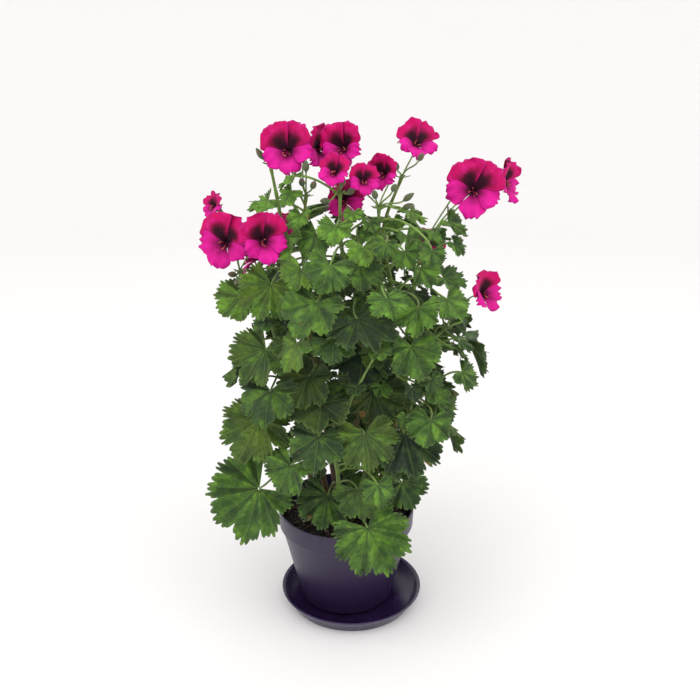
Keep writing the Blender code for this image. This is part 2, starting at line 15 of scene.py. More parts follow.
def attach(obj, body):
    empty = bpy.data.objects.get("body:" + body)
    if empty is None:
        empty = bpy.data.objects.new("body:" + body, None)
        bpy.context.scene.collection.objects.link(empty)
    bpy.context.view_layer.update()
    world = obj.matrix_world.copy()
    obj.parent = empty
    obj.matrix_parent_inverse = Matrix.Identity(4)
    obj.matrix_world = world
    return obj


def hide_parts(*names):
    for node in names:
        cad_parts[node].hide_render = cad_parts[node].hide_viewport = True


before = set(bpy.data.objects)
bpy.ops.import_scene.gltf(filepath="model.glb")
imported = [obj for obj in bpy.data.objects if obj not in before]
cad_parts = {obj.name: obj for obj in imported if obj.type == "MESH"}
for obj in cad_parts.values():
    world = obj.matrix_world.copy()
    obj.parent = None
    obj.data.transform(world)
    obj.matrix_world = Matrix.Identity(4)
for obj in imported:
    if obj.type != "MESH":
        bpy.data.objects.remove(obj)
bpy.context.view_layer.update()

MM = 0.001
GAP = 0.3  # between neighbouring solids
UP = Vector((0, 0, 1))

# The view that the photo was taken from
EYE = Vector((-1.3, -722, 500))
PITCH = math.radians(18.7)
FOCAL_PX = 850
MIDDLE_PX = 350

# Saucer: underside at z = 0
SAUCER_R = 68
SAUCER_FOOT_R = 58.5
SAUCER_H = 15
SAUCER_WALL = 1.6

# Nursery pot of the 13 cm size, standing a little off the saucer's middle
POT_X, POT_Y = -5, 6
POT_FLOOR_Z = SAUCER_WALL + GAP
POT_RIM_R = 65
POT_TOP_Z = 98
POT_BAND_H = 19
POT_BAND_STEP = 2.2
POT_FOOT_R = 45.5
POT_WALL = 1.2
POT_FLOOR = 1.6
TURNS = 32  # sides of the turned pieces

# Soil
SOIL_TOP_Z = 85
HOLE_FLOOR_Z = 50

# Plant
STEM_R, STEM_TIP_R, KNOT_R = 2.6, 1.5, 2.3
SITE_SPACING = 6  # between the places on a stem that can bear a leaf
PETIOLE_R = 1.15
PEDICEL_R = 0.8
BLADE = 0.85  # thickness of a leaf
PETAL = 0.8  # thickness of a petal
CLEAR = 1.1  # room kept round a leaf
TOOTHED_WIDTH = 29
LEAF_FAN = math.radians(134)  # from the midrib to the sinus
CALYX_R = 2.4
BUD_R = 2.6

# Shown shapes
LEAF_SHEET = 0.45
PETAL_SHEET = 0.35
SLIM_R = 1.1  # of a stem's end
LEAF_ROWS = (0.03, 0.14, 0.28, 0.42, 0.56, 0.69, 0.81, 0.91, 1)
FINE_LEAF = 34  # wider leaves have every row and more columns
TEETH = 6  # to a lobe
TOOTH = 0.11  # of the midrib's length
BRANCH_GAP = 5.2  # between the branch veins along a rib
UPPER_PETALS = (54, 126)
PETAL_LINES = 5.5  # across half a petal
SMOOTH_TURNS = 128
CRUMBS = 420
SMALL_LEAVES = 300
SMALL_WIDTH = (13, 32)

# Colours, as sRGB out of 255
# Leaf greens for painted shade and painted light, leaf by leaf; young leaves mix them at random
LEAF_DARK, LEAF_BRIGHT = (22, 40, 24), (104, 152, 44)
# The first two are painted shade and a painted highlight on the leaves; the third, their dry spots
LEAF_SHADE, LEAF_HIGHLIGHT, LEAF_DRY = (14, 34, 20), (118, 166, 46), (140, 104, 56)
LEAF_YELLOW, LEAF_UNDER, LEAF_VEIN = (112, 136, 34), (72, 94, 50), (116, 148, 74)
# Painted shade for the hollows of the leaves' bumps
LEAF_HOLLOW_SHADE = (24, 40, 18)
STEM_GREEN, STEM_DULL, STEM_BROWN = (120, 152, 66), (96, 124, 56), (84, 58, 40)
BUD_GREEN, BUD_PINK = (72, 88, 52), (118, 66, 60)
PETAL_UPPER, PETAL_LOWER, PETAL_EDGING = (186, 3, 90), (208, 22, 142), (176, 40, 140)
PETAL_DEEP, PETAL_CLOUD, PETAL_UNDER = (160, 6, 84), (218, 44, 152), (170, 30, 112)
MAROON, BLOTCH = (92, 2, 34), (36, 3, 24)
STAMEN, ANTHER = (150, 20, 80), (176, 84, 70)
POT_PLASTIC, SAUCER_PLASTIC = (34, 22, 50), (40, 26, 60)
SOIL_DARK, SOIL_BROWN, SOIL_GRAIN = (18, 11, 12), (58, 42, 36), (132, 116, 100)
FLOOR_COLOUR, FLOOR_MATE = (237, 235, 234), (241, 240, 239)

# Studio
SWEEP_R, SWEEP_BEND = 1900, 1500
SKY_STRENGTH, SKY_COLOUR = 1.04, (1, 0.995, 0.995, 1)
LAMPS = (((-0.8, -1.3, 1.9), 20), ((1.3, -1.2, 1.5), 12))  # place in metres, watts
LAMP_SIZE = 2.4
LAMP_TARGET = (0, 0, 0.2)
SENSOR_MM = 36


def seen(u, v, depth):
    """The place at this depth that the photo shows at pixel (u, v)."""
    away = depth - EYE.y
    drop = away * math.tan(math.atan((MIDDLE_PX - v) / FOCAL_PX) - PITCH)
    forward = away * math.cos(PITCH) - drop * math.sin(PITCH)
    return Vector((EYE.x + (u - MIDDLE_PX) * forward / FOCAL_PX, depth, EYE.z + drop))


def at(x, y, z):
    return Vector((x, y, z))


# Leafy stems: name, root from the pot's middle, points that the stem passes, and whether its end
# is the knot of an umbel
STEMS = (
    ("stem_left", (-25, -6), (seen(276, 337, -18), seen(257, 303, -24), seen(240, 270, -28)), True),
    ("stem_left_top", (-15, 9), (seen(288, 330, -2), seen(282, 230, -8), seen(270, 163, -8)), True),
    ("stem_mid_left", (-5, -13),
     (seen(309, 320, -20), seen(304, 240, -22), seen(306, 195, -24)), True),
    ("stem_mid", (5, 2), (seen(360, 310, -20), seen(342, 250, -24), seen(340, 192, -28)), True),
    ("stem_mid_right", (15, -12),
     (seen(380, 320, -26), seen(378, 250, -32), seen(379, 207, -36)), True),
    ("stem_right_top", (13, 14), (seen(391, 320, 8), seen(383, 235, 4), seen(402, 176, 2)), True),
    ("stem_right", (26, 0), (seen(414, 340, 0), seen(414, 290, -6), seen(422, 248, -10)), True),
    ("stem_far_right", (29, 13), (seen(412, 400, 6), seen(424, 352, 0), seen(446, 327, -6)), True),
    ("stem_back_left", (-20, 26), (at(-38, 52, 200), at(-52, 66, 290), at(-60, 74, 334)), True),
    ("stem_back", (2, 29), (at(2, 52, 220), at(4, 70, 310), at(6, 76, 352)), False),
    ("stem_back_right", (22, 27), (at(46, 48, 200), at(58, 62, 290), at(66, 70, 328)), True),
    ("stem_front", (-4, -31), (at(-10, -40, 130), at(-14, -52, 180), at(-14, -56, 222)), False),
    ("stem_left_low", (-34, 8), (at(-52, -2, 130), at(-70, -14, 180), at(-78, -20, 222)), False),
    ("stem_right_low", (30, -17), (at(38, -26, 130), at(46, -40, 180), at(50, -44, 222)), False),
)

# Flowers: name, pixel and depth of the throat, radius, the way the flower faces (degrees to the
# right of the viewer and above level), the stem that bears it
BLOOMS = (
    ("bloom_top_left", 289, 152, -16, 23, -14, 20, "stem_left_top"),
    ("bloom_top_left_side", 316, 149, -2, 20, 44, 8, "stem_mid_left"),
    ("bloom_top_mid", 345, 149, -14, 20, -24, 16, "stem_mid"),
    ("bloom_mid_low", 336, 174, -42, 14, -20, 30, "stem_mid"),
    ("bloom_mid_right", 362, 182, -36, 14, 20, 28, "stem_mid_right"),
    ("bloom_mid_side", 385, 175, -14, 15, -30, 20, "stem_mid_right"),
    ("bloom_hanging", 341, 200, -8, 19, 12, -12, "stem_mid"),
    ("bloom_top_right", 416, 146, -6, 19, 10, 44, "stem_right_top"),
    ("bloom_right", 473, 191, -22, 25, -4, 20, "stem_right"),
    ("bloom_right_side", 500, 183, 6, 20, 62, 14, "stem_right"),
    ("bloom_far_right", 480, 294, -18, 19, 42, 24, "stem_far_right"),
    ("bloom_left", 227, 243, -34, 24, -20, 16, "stem_left"),
    ("bloom_left_mid", 263, 241, -54, 21, 16, 18, "stem_left"),
    ("bloom_left_half_open", 216, 208, -14, 12, -50, 30, "stem_left"),
)
BACK_BLOOMS = (
    ("bloom_back_left", at(-66, 96, 338), 22, 205, 30, "stem_back_left"),
    ("bloom_back_left_side", at(-88, 74, 322), 20, -105, 25, "stem_back_left"),
    ("bloom_back_right", at(70, 92, 326), 22, 160, 30, "stem_back_right"),
)

# Buds of each stem: pixel and depth of the tip, length
BUDS = {
    "stem_left_top": ((256, 148, -14, 11),),
    "stem_mid_left": ((306, 160, -32, 10), (301, 178, -36, 8), (315, 181, -40, 9)),
    "stem_mid": ((320, 201, -44, 10), (355, 188, -50, 11), (343, 178, -54, 9)),
    "stem_mid_right": ((374, 190, -50, 9), (396, 184, -58, 8),
                       (414, 193, -48, 11), (414, 204, -40, 10)),
    "stem_right_top": ((395, 162, -14, 9), (423, 153, -20, 9)),
    "stem_right": ((472, 158, 4, 12),),
    "stem_far_right": ((461, 292, -26, 9),),
    "stem_left": ((236, 284, -50, 12), (248, 286, -48, 11), (228, 274, -40, 10)),
}

# Leaves: pixel and depth of the middle, width, degrees that the face looks above level, degrees
# that it turns to the right of straight out of the plant, clockwise roll of the tip
LEAVES = (
    (246, 498, -64, 77, 36, 34, 50),
    (374, 541, -84, 68, 26, -12, -28),
    (253, 430, -66, 61, 41, 24, 20),
    (408, 447, -76, 65, 33, -14, -10),
    (258, 358, -66, 54, 45, 24, 30),
    (268, 401, -80, 50, 38, 14, 0),
    (293, 352, -92, 38, 26, -36, 10),
    (310, 312, -88, 50, 40, 0, 20),
    (362, 328, -92, 56, 57, 0, -20),
    (415, 356, -78, 46, 38, 0, -10),
    (333, 346, -104, 36, 34, 10, 0),
    (235, 302, -46, 41, 38, 20, 35),
    (267, 295, -56, 53, 31, 40, 20),
    (452, 305, -66, 35, 46, -10, -20),
    (417, 316, -90, 37, 31, -38, 0),
    (389, 305, -98, 31, 43, 0, -10),
    (463, 344, -50, 24, 26, 44, -20),
    (467, 376, -52, 30, 40, 0, -35),
    (429, 428, -92, 37, 29, -50, 0),
    (443, 407, -62, 34, 43, 0, -20),
    (286, 473, -90, 42, 36, 0, 20),
    (317, 447, -86, 50, 33, 0, 10),
    (367, 445, -84, 53, 29, 0, -10),
    (392, 470, -100, 26, 34, 0, 0),
    (325, 506, -50, 54, 24, 10, 20),
    (362, 498, -58, 53, 26, 0, -20),
    (379, 491, -90, 29, 38, 0, -10),
    (406, 490, -66, 43, 46, 0, -25),
    (264, 323, -80, 26, 43, 0, 10),
    (299, 276, -74, 32, 36, 0, 10),
    (327, 274, -64, 42, 41, 0, 0),
    (360, 273, -70, 37, 53, 0, 0),
    (419, 296, -62, 33, 57, 0, -10),
    (424, 274, -52, 32, 38, 0, -10),
    (451, 281, -42, 36, 57, 0, -30),
    (305, 385, -76, 47, 48, 0, 10),
    (320, 412, -72, 48, 57, 0, 0),
    (434, 384, -70, 24, 34, 0, -20),
    (362, 362, -52, 50, 29, 0, 10),
    (378, 400, -56, 53, 31, 0, -10),
    (282, 243, -48, 37, 40, 0, 20),
    (313, 241, -52, 37, 29, 0, 10),
    (335, 232, -62, 30, 45, 0, 0),
    (364, 253, -72, 28, 50, 0, -10),
    (411, 242, -50, 30, 34, 30, -10),
    (407, 257, -62, 26, 17, 0, -20),
    (454, 226, -18, 32, 50, 0, -30),
    (457, 247, -28, 22, 40, 0, -20),
    (435, 236, -40, 17, 43, 0, 0),
    (431, 256, -46, 26, 43, 0, -10),
    (263, 204, -26, 28, 50, 0, 30),
    (288, 196, -32, 26, 48, 0, 10),
    (289, 180, -18, 24, 58, 0, 0),
    (299, 218, -48, 20, 43, 0, 0),
    (353, 216, -50, 17, 48, 0, 0),
    (371, 226, -34, 17, 43, 0, 0),
    (394, 225, -44, 20, 40, 0, -10),
    (414, 216, -28, 28, 48, 0, -10),
    (369, 237, -54, 17, 45, 0, 0),
    (385, 248, -48, 22, 38, 0, -10),
)

# Painted light and shade of each leaf, in the order of LEAVES: dark where it stands in shade,
# middling, or bright where it is lit
LEAF_LIGHTING = "bbmdmmbmdbmbmbbbbbbmbmmbmmbmmmdddmmddmddmdbbdmmmmdbbbbbdmbbd"
LIGHT_LEVELS = {"d": 0.0, "m": 0.2, "b": 0.44}

# Leaves that the photo doesn't show, spread by a spiral over the crown's back and its inside
CROWN = at(4, 2, 258)
CROWN_R = (108, 104, 136)
SPIRAL_LEAVES = 70
SPIRAL_FRONT_Y = -8
SPIRAL_WIDTH = (46, 68)
GOLDEN = math.radians(137.508)

# Gaps through which the photo shows its pale background
LIGHT_GAPS = ((258, 463), (316, 328), (398, 341), (378, 426), (375, 473), (300, 398), (226, 330),
              (440, 200), (300, 205), (325, 215), (476, 240), (470, 420), (230, 190), (440, 324),
              (444, 352), (455, 400), (452, 440), (480, 340), (228, 392), (222, 340), (425, 478))
# More of them, which only the small young leaves leave open
SMALL_GAPS = ((445, 333), (452, 351), (437, 318), (445, 362), (460, 392), (470, 314), (478, 395),
              (458, 340), (462, 362), (455, 382), (484, 360), (330, 190), (350, 208), (275, 200))

TRIES = 90
SEED = 7

BAND_Z = POT_TOP_Z - POT_BAND_H


def pot_wall_r(z):
    """The pot's outer radius below its rim band."""
    low, high = POT_FLOOR_Z + 8, BAND_Z
    top = POT_RIM_R - POT_BAND_STEP - 0.8
    return POT_FOOT_R + (top - POT_FOOT_R) * (z - low) / (high - low)


def pot_inner_r(z):
    return pot_wall_r(z) - POT_WALL


SAUCER_PROFILE = (
    (SAUCER_FOOT_R, 0), (SAUCER_R - 1.6, SAUCER_H - 2.6), (SAUCER_R, SAUCER_H - 1.2),
    (SAUCER_R - 0.8, SAUCER_H), (SAUCER_R - 3.4, SAUCER_H - 1.6), (SAUCER_FOOT_R - 1, SAUCER_WALL),
)
POT_PROFILE = (
    (POT_FOOT_R - 3.5, POT_FLOOR_Z), (POT_FOOT_R - 0.8, POT_FLOOR_Z + 3),
    (POT_FOOT_R, POT_FLOOR_Z + 8), (pot_wall_r(BAND_Z), BAND_Z), (POT_RIM_R - 0.8, BAND_Z + 0.6),
    (POT_RIM_R, POT_TOP_Z - 0.7), (POT_RIM_R - 0.7, POT_TOP_Z),
    (POT_RIM_R - POT_WALL - 0.4, POT_TOP_Z - 0.4), (pot_inner_r(BAND_Z), BAND_Z),
    (pot_inner_r(POT_FLOOR_Z + 8), POT_FLOOR_Z + 8), (POT_FOOT_R - 5, POT_FLOOR_Z + POT_FLOOR),
)


PETALS = ((54, 1.02), (126, 1.0), (198, 0.9), (270, 0.94), (342, 0.9))
PETAL_EDGE = ((-0.88, 0.84), (-0.5, 0.99), (-0.06, 0.96), (0.42, 1.01), (0.88, 0.86))
PETAL_NOTCH = 0.58
CALYX = ((1.5, CALYX_R * 0.8), (5, CALYX_R))


def ring_faces(count, sides):
    """Quads between rings of points, and the two flat ends."""
    index = np.arange(count * sides).reshape(count, sides)
    after = np.roll(index, -1, axis=1)
    quads = np.stack([index[:-1], after[:-1], after[1:], index[1:]], axis=-1).reshape(-1, 4)
    return [quads, np.stack([index[0, ::-1], index[-1]])]


def turned(profile, x, y, turns):
    """Points and faces of a closed profile of (radius, z), turned about a vertical axis. It runs
    up the outside and down the inside."""
    angles = np.arange(turns) * math.tau / turns
    rings = [np.stack([x + r * np.cos(angles), y + r * np.sin(angles), np.full(turns, z)],
                      axis=-1) for r, z in profile]
    return np.concatenate(rings), ring_faces(len(profile), turns)


def tube(path, radii, sides):
    """A closed tube through the path's points, one radius a point; a last radius of 0 is a tip."""
    points, faces = [], []
    side = at(1, 0.2, 0.1)
    for i, (centre, radius) in enumerate(zip(path, radii)):
        along = (path[min(i + 1, len(path) - 1)] - path[max(i - 1, 0)]).normalized()
        side = (side - along * side.dot(along)).normalized()
        across = along.cross(side)
        if radius == 0:
            points.append(centre)
            continue
        for k in range(sides):
            angle = math.tau * k / sides
            points.append(centre + radius * (side * math.cos(angle) + across * math.sin(angle)))
    rings = len(radii) - (radii[-1] == 0)
    for k in range(sides):
        after = (k + 1) % sides
        for ring in range(rings - 1):
            low, high = ring * sides, (ring + 1) * sides
            faces.append((low + k, low + after, high + after))
            faces.append((low + k, high + after, high + k))
        if radii[-1] == 0:
            faces.append(((rings - 1) * sides + k, (rings - 1) * sides + after, rings * sides))
    faces.append(tuple(reversed(range(sides))))
    if radii[-1] != 0:
        faces.append(tuple(range((rings - 1) * sides, rings * sides)))
    return points, faces


def sheet(hub, ring, thickness, closed):
    """A thin solid of triangles from a hub to a ring of points, alike on both faces. The ring
    goes all round the hub if it is closed; otherwise the edge stays open beside the hub."""
    outline = [hub, *ring]
    count = len(outline)
    half = UP * thickness / 2
    points = [p + half for p in outline] + [p - half for p in outline]
    edge = [(i, i + 1) for i in range(1, count - 1)] + ([(count - 1, 1)] if closed else [])
    faces = []
    for a, b in edge:
        faces += [(0, a, b), (count, count + b, count + a),
                  (b, a, count + a), (b, count + a, count + b)]
    return points, faces


def with_stalk(piece, path, up):
    """A blade and the stalk that runs along a path to its sinus, as one closed solid. Each ring
    of the stalk has a point above, right of, below and left of the path, and its last ring is
    the sinus between the two sides of the blade's edge."""
    points, faces = list(piece[0]), list(piece[1])
    count = len(points) // 2
    sinus = (points[0] + points[count]) / 2
    right, left, last = len(points), len(points) + 1, count - 1
    for k in (1, last):
        edge = (points[k] + points[k + count]) / 2 - sinus
        points.append(sinus + edge.normalized() * PETIOLE_R * 1.4)
    faces += [(1, 0, right), (1, right, count + 1), (right, count, count + 1),
              (0, last, left), (last, last + count, left), (last + count, count, left)]
    high = (0, right, count, left)
    for i in range(len(path) - 2, -1, -1):
        along = (path[i + 1] - path[max(i - 1, 0)]).normalized()
        up = (up - along * up.dot(along)).normalized()
        side = along.cross(up)
        low = tuple(range(len(points), len(points) + 4))
        points += [path[i] + way * PETIOLE_R for way in (up, side, -up, -side)]
        for k in range(4):
            after = (k + 1) % 4
            faces += [(low[k], low[after], high[after]), (low[k], high[after], high[k])]
        high = low
    faces.append(tuple(reversed(high)))
    return points, faces


def smooth_path(knots, steps):
    """Points along a smooth curve through the knots."""
    ends = [knots[0] * 2 - knots[1], *knots, knots[-1] * 2 - knots[-2]]
    path = []
    for i in range(len(knots) - 1):
        a, b, c, d = ends[i:i + 4]
        for step in range(steps):
            t = step / steps
            path.append(0.5 * (2 * b + (c - a) * t + (2 * a - 5 * b + 4 * c - d) * t ** 2
                               + (3 * b - a - 3 * c + d) * t ** 3))
    return path + [knots[-1]]


def arc(start, start_pull, end_pull, end, steps):
    """Points along a cubic curve."""
    path = []
    for step in range(steps + 1):
        t = step / steps
        path.append(start * (1 - t) ** 3 + start_pull * 3 * t * (1 - t) ** 2
                    + end_pull * 3 * t ** 2 * (1 - t) + end * t ** 3)
    return path


def facing(azimuth, lift, roll):
    """Turn of a piece whose face is +Z and whose tip is +Y, in degrees. Azimuth 0 looks at the
    viewer and 90 to the right; the tip hangs down and out until it is rolled clockwise."""
    azimuth, lift = math.radians(azimuth), math.radians(lift)
    out = at(math.sin(azimuth), -math.cos(azimuth), 0)
    face = out * math.cos(lift) + UP * math.sin(lift)
    tip = out * math.sin(lift) - UP * math.cos(lift)
    tip = Matrix.Rotation(-math.radians(roll), 3, face) @ tip
    return Matrix((tip.cross(face), tip, face)).transposed()


def leaf_reach(phi):
    """Length of the blade at an angle from its midrib, where the midrib is 1."""
    return 0.55 + 0.45 * math.cos(0.62 * phi)


def leaf_margin(lobes, toothed):
    """Angle, length and pleat of each point of the margin, from one side of the sinus round."""
    margin = []
    step = 2 * LEAF_FAN / lobes
    for lobe in range(lobes + 1):
        start = -LEAF_FAN + lobe * step
        at_base = lobe in (0, lobes)
        margin.append((start, 0.88 if at_base else 0.84, 0.5 if at_base else 1))
        if lobe == lobes:
            break
        if toothed:
            margin.append((start + 0.24 * step, 0.95, 0.2))
        margin.append((start + 0.5 * step, 1.02, -1))
        if toothed:
            margin.append((start + 0.76 * step, 0.95, 0.2))
    return [(phi, reach * leaf_reach(phi), pleat) for phi, reach, pleat in margin]


def blade(width, cup, phase, toothed, room=0):
    """A leaf blade whose sinus is at the origin: points and faces, +Y to the tip, +Z up."""
    length = width / 1.64
    ring = []
    for phi, reach, pleat in leaf_margin(7 if width > 50 else 5, toothed):
        height = (cup * reach ** 2 + 0.045 * pleat + 0.05 * math.sin(2 * phi + phase)
                  - 0.12 * max(0, math.cos(phi)) ** 2)
        out = length * reach + room
        ring.append(at(-out * math.sin(phi), out * math.cos(phi), length * height))
    return sheet(at(0, -room, 0), ring, BLADE + 2 * room, False)


def corolla(radius, phase, room=0):
    """Five petals round a throat at the origin: +Z out of the flower, +Y up."""
    ring = []
    for k, (middle, length) in enumerate(PETALS):
        for s, reach in PETAL_EDGE:
            phi = math.radians(middle + 36 * s)
            out = radius * length * reach + room
            wave = 0.09 * math.sin(7 * phi + phase) + 0.05 * (-1) ** k
            ring.append(at(out * math.cos(phi), out * math.sin(phi), radius * (0.34 + wave)))
        notch = math.radians(middle + 36)
        out = radius * PETAL_NOTCH + room
        ring.append(at(out * math.cos(notch), out * math.sin(notch), radius * 0.26))
    return sheet(at(0, 0, 0), ring, PETAL + 2 * room, True)


def moved(piece, turn, place):
    points, faces = piece
    return [turn @ p + place for p in points], faces


class Obstacle:
    """A placed piece that later ones keep clear of."""

    def __init__(self, piece, kind, node):
        points, faces = piece
        self.tree = BVHTree.FromPolygons(points, faces)
        self.low = np.min(points, axis=0)
        self.high = np.max(points, axis=0)
        self.kind, self.node = kind, node

    def meets(self, other):
        if np.any(self.low > other.high) or np.any(other.low > self.high):
            return False
        return bool(self.tree.overlap(other.tree))


class Plant:
    """What has grown, and the coarse shapes that later growth keeps clear of."""

    def __init__(self):
        self.placed = []
        self.ends = {}
        self.sites = []
        self.rng = random.Random(SEED)
        self.stems, self.pedicels, self.blooms, self.leaves = [], [], [], []

    def add(self, node, piece, kind):
        self.placed.append(Obstacle(piece, kind, node))

    def is_clear(self, piece, kind, node):
        test = Obstacle(piece, kind, node)
        for other in self.placed:
            same_stalks = other.node == node and kind != "blade" and other.kind in ("stem", "stalk")
            if not same_stalks and test.meets(other):
                return False
        return True


def grow_stems(plant):
    for name, (x, y), knots, has_umbel in STEMS:
        root = at(POT_X + x, POT_Y + y, 0)
        foot = root + UP * (HOLE_FLOOR_Z + GAP)
        path = [foot, *smooth_path([root + UP * (SOIL_TOP_Z + 3), *knots], 2)]
        radii = [STEM_R + (STEM_TIP_R - STEM_R) * (i / (len(path) - 1)) ** 1.5
                 for i in range(len(path))]
        if has_umbel:
            radii[-1] = KNOT_R
        plant.ends[name] = path[-1]
        for a, b in zip(path[1:-1], path[2:]):
            count = max(1, round((b - a).length / SITE_SPACING))
            plant.sites += [(name, a.lerp(b, (k + 0.5) / count)) for k in range(count)]
        plant.stems.append((name, [root + UP * (SOIL_TOP_Z + 3), *knots], has_umbel))
        plant.add(name, tube(path, [r + CLEAR for r in radii], 5), "stem")


def grow_pedicel(plant, node, end, direction, end_shape):
    """A stalk from the stem's end that reaches its end along a direction, then the end's own
    rings of (distance past the end, radius). It bends until it is clear."""
    rng = plant.rng
    knot = plant.ends[node] - UP * 0.5
    reach = (end - knot).length
    away = ((end - knot) * at(1, 1, 0.5)).normalized()
    for attempt in range(TRIES):
        ease = attempt / TRIES
        sway = Vector([rng.uniform(-1, 1) for _ in range(3)]) * reach * 0.5 * ease
        pull = 0.35 * (1 - ease * rng.random())
        bend = (knot, knot + (UP + away).normalized() * reach * pull * 1.1 + sway,
                end - direction * reach * pull, end)
        path = arc(*bend, 2)
        radii = [PEDICEL_R] * len(path)
        for distance, radius in end_shape:
            path.append(end + direction * distance)
            radii.append(radius)
        wide = tube(path, [r + 0.5 if r else 0 for r in radii], 4)
        piece = tube(path, radii, 4)
        if not crosses_itself(piece) and plant.is_clear(wide, "stalk", node):
            plant.pedicels.append((node, bend, direction, end_shape[-1][0], end_shape is CALYX))
            plant.add(node, wide, "stalk")
            return True
    return False


def grow_bloom(plant, name, wanted, radius, azimuth, lift, node):
    """A corolla and the calyx behind it, moved in depth until both are clear."""
    phase = plant.rng.uniform(0, math.tau)
    tilt = plant.rng.uniform(-14, 14)
    away = (wanted - EYE).normalized()
    for attempt in range(TRIES):
        ease = attempt / TRIES
        throat = wanted + away * plant.rng.uniform(-1, 1) * 30 * ease
        swing = [plant.rng.uniform(-1, 1) * 30 * ease for _ in range(2)]
        turn = facing(azimuth + swing[0], lift + swing[1], 180 + tilt)
        top = throat - turn.col[2] * (PETAL / 2 + GAP + 0.1)
        wide = moved(corolla(radius, phase, 0.8), turn, throat)
        if not plant.is_clear(wide, "petals", name):
            continue
        plant.add(name, moved(corolla(radius, phase), turn, throat), "petals")
        if grow_pedicel(plant, node, top - turn.col[2] * 5, turn.col[2], CALYX):
            plant.blooms.append((name, radius, phase, turn, throat))
            return
        plant.placed.pop()


def grow_flowers(plant):
    """Every flower and bud. The petals' nodes are the flowers' names."""
    for name, u, v, depth, *rest in BLOOMS:
        grow_bloom(plant, name, seen(u, v, depth), *rest)
    for bloom in BACK_BLOOMS:
        grow_bloom(plant, *bloom)
    for node, (u, v, depth, length) in ((node, bud) for node, buds in BUDS.items() for bud in buds):
        shape = ((length * 0.15, BUD_R * 0.8), (length * 0.5, BUD_R), (length * 0.85, BUD_R * 0.5),
                 (length, 0))
        for shift in range(0, 40, 3):
            tip = seen(u, v, depth + shift * (-1) ** shift)
            direction = ((tip - plant.ends[node]).normalized() + UP * 0.3).normalized()
            if grow_pedicel(plant, node, tip - direction * length, direction, shape):
                break


def stalk_path(start, sinus, turn, steps=3):
    """The curve of a leaf's stalk, which reaches the sinus from behind and below."""
    reach = (sinus - start).length
    away = ((sinus - start) * at(1, 1, 0)).normalized()
    back = (turn.col[1] * 0.75 + turn.col[2] * 0.5).normalized()
    return arc(start, start + (away + UP * 0.9).normalized() * reach * 0.35,
               sinus - back * reach * 0.3, sinus, steps)


def sites_near(plant, sinus, width):
    """Places on the stems that could bear a leaf here, the likeliest first."""
    ideal = 18 + 0.5 * width
    found = []
    for k, (_node, place) in enumerate(plant.sites):
        gap = (sinus - place).length
        if gap > 14:
            found.append((abs(gap - ideal) + 1.5 * max(0, place.z - sinus.z + 4), k))
    return [plant.sites[k] for _cost, k in sorted(found)[:9]]


def grow_leaf(plant, middle, width, azimuth, lift, roll, cup, toothed, in_sight, light):
    """Place a leaf as near as can be to its wanted place, bent clear of what is there."""
    rng = plant.rng
    phase = rng.uniform(0, math.tau)
    away = (middle - EYE).normalized()
    for attempt in range(TRIES):
        ease = attempt / TRIES
        shift = away * rng.uniform(-1, 1) * 42 * ease
        swing = [rng.uniform(-1, 1) * 44 * ease for _ in range(3)]
        size = width * (1 - 0.3 * ease * rng.random())
        turn = facing(azimuth + swing[0], lift + swing[1] * 0.7, roll + swing[2])
        sinus = middle + shift - turn.col[1] * (size / 1.64) * 0.3
        wide = moved(blade(size, cup, phase, toothed, CLEAR), turn, sinus)
        if any(point.z < 22 for point in wide[0]) or not plant.is_clear(wide, "blade", None):
            continue
        if hides(wide, in_sight):
            continue
        for node, start in sites_near(plant, sinus, size):
            path = stalk_path(start, sinus, turn)
            leaf = with_stalk(moved(blade(size, cup, phase, toothed), turn, sinus), path,
                              turn.col[2])
            if (not crosses_itself(leaf)
                    and plant.is_clear(tube(path, [PETIOLE_R + 0.6] * 4, 4), "stalk", node)):
                plant.leaves.append((node, start, sinus, turn, size, cup, phase, light))
                plant.add(node, wide, "blade")
                plant.add(node, tube(path, [PETIOLE_R + 0.5] * 4, 4), "stalk")
                plant.sites.remove((node, start))
                return


def crosses_itself(piece):
    points, faces = piece
    tree = BVHTree.FromPolygons(points, faces)
    return any(a < b and not set(faces[a]) & set(faces[b]) for a, b in tree.overlap(tree))


def hides(piece, spots):
    """Whether a piece stands in front of any of these pixels of the photo."""
    tree = BVHTree.FromPolygons(*piece)
    return any(tree.ray_cast(EYE, seen(u, v, 0) - EYE)[0] is not None for u, v in spots)


def azimuth_of(place):
    return math.degrees(math.atan2(place.x - CROWN.x, CROWN.y - place.y))


def grow_leaves(plant):
    # Each listed leaf gets its painted light and shade
    for (u, v, depth, width, lift, turn, roll), tone in zip(LEAVES, LEAF_LIGHTING):
        middle = seen(u, v, depth)
        cup = 0.16 if middle.z > 250 else 0.06
        grow_leaf(plant, middle, width, azimuth_of(middle) * 0.75 + turn, lift, roll, cup,
                  width > TOOTHED_WIDTH, (), LIGHT_LEVELS[tone])
    for k in range(SPIRAL_LEAVES):
        height = 1 - (2 * k + 1) / SPIRAL_LEAVES
        shell = 0.96 if k % 3 else 0.62
        level = math.sqrt(1 - height ** 2)
        unit = at(level * math.cos(k * GOLDEN), level * math.sin(k * GOLDEN), height)
        middle = CROWN + unit * Vector(CROWN_R) * shell
        if middle.y < SPIRAL_FRONT_Y or middle.z < 120:
            continue
        width = plant.rng.uniform(*SPIRAL_WIDTH) * (0.75 if middle.z > 310 else 1)
        lift = 35 + 35 * max(0, height) + plant.rng.uniform(-8, 8)
        grow_leaf(plant, middle, width, azimuth_of(middle), lift, plant.rng.uniform(-30, 30),
                  0.1, False, LIGHT_GAPS, LIGHT_LEVELS["m"])


def added(data):
    """A new object of the scene, named as its data."""
    made = bpy.data.objects.new(data.name, data)
    bpy.context.scene.collection.objects.link(made)
    return made


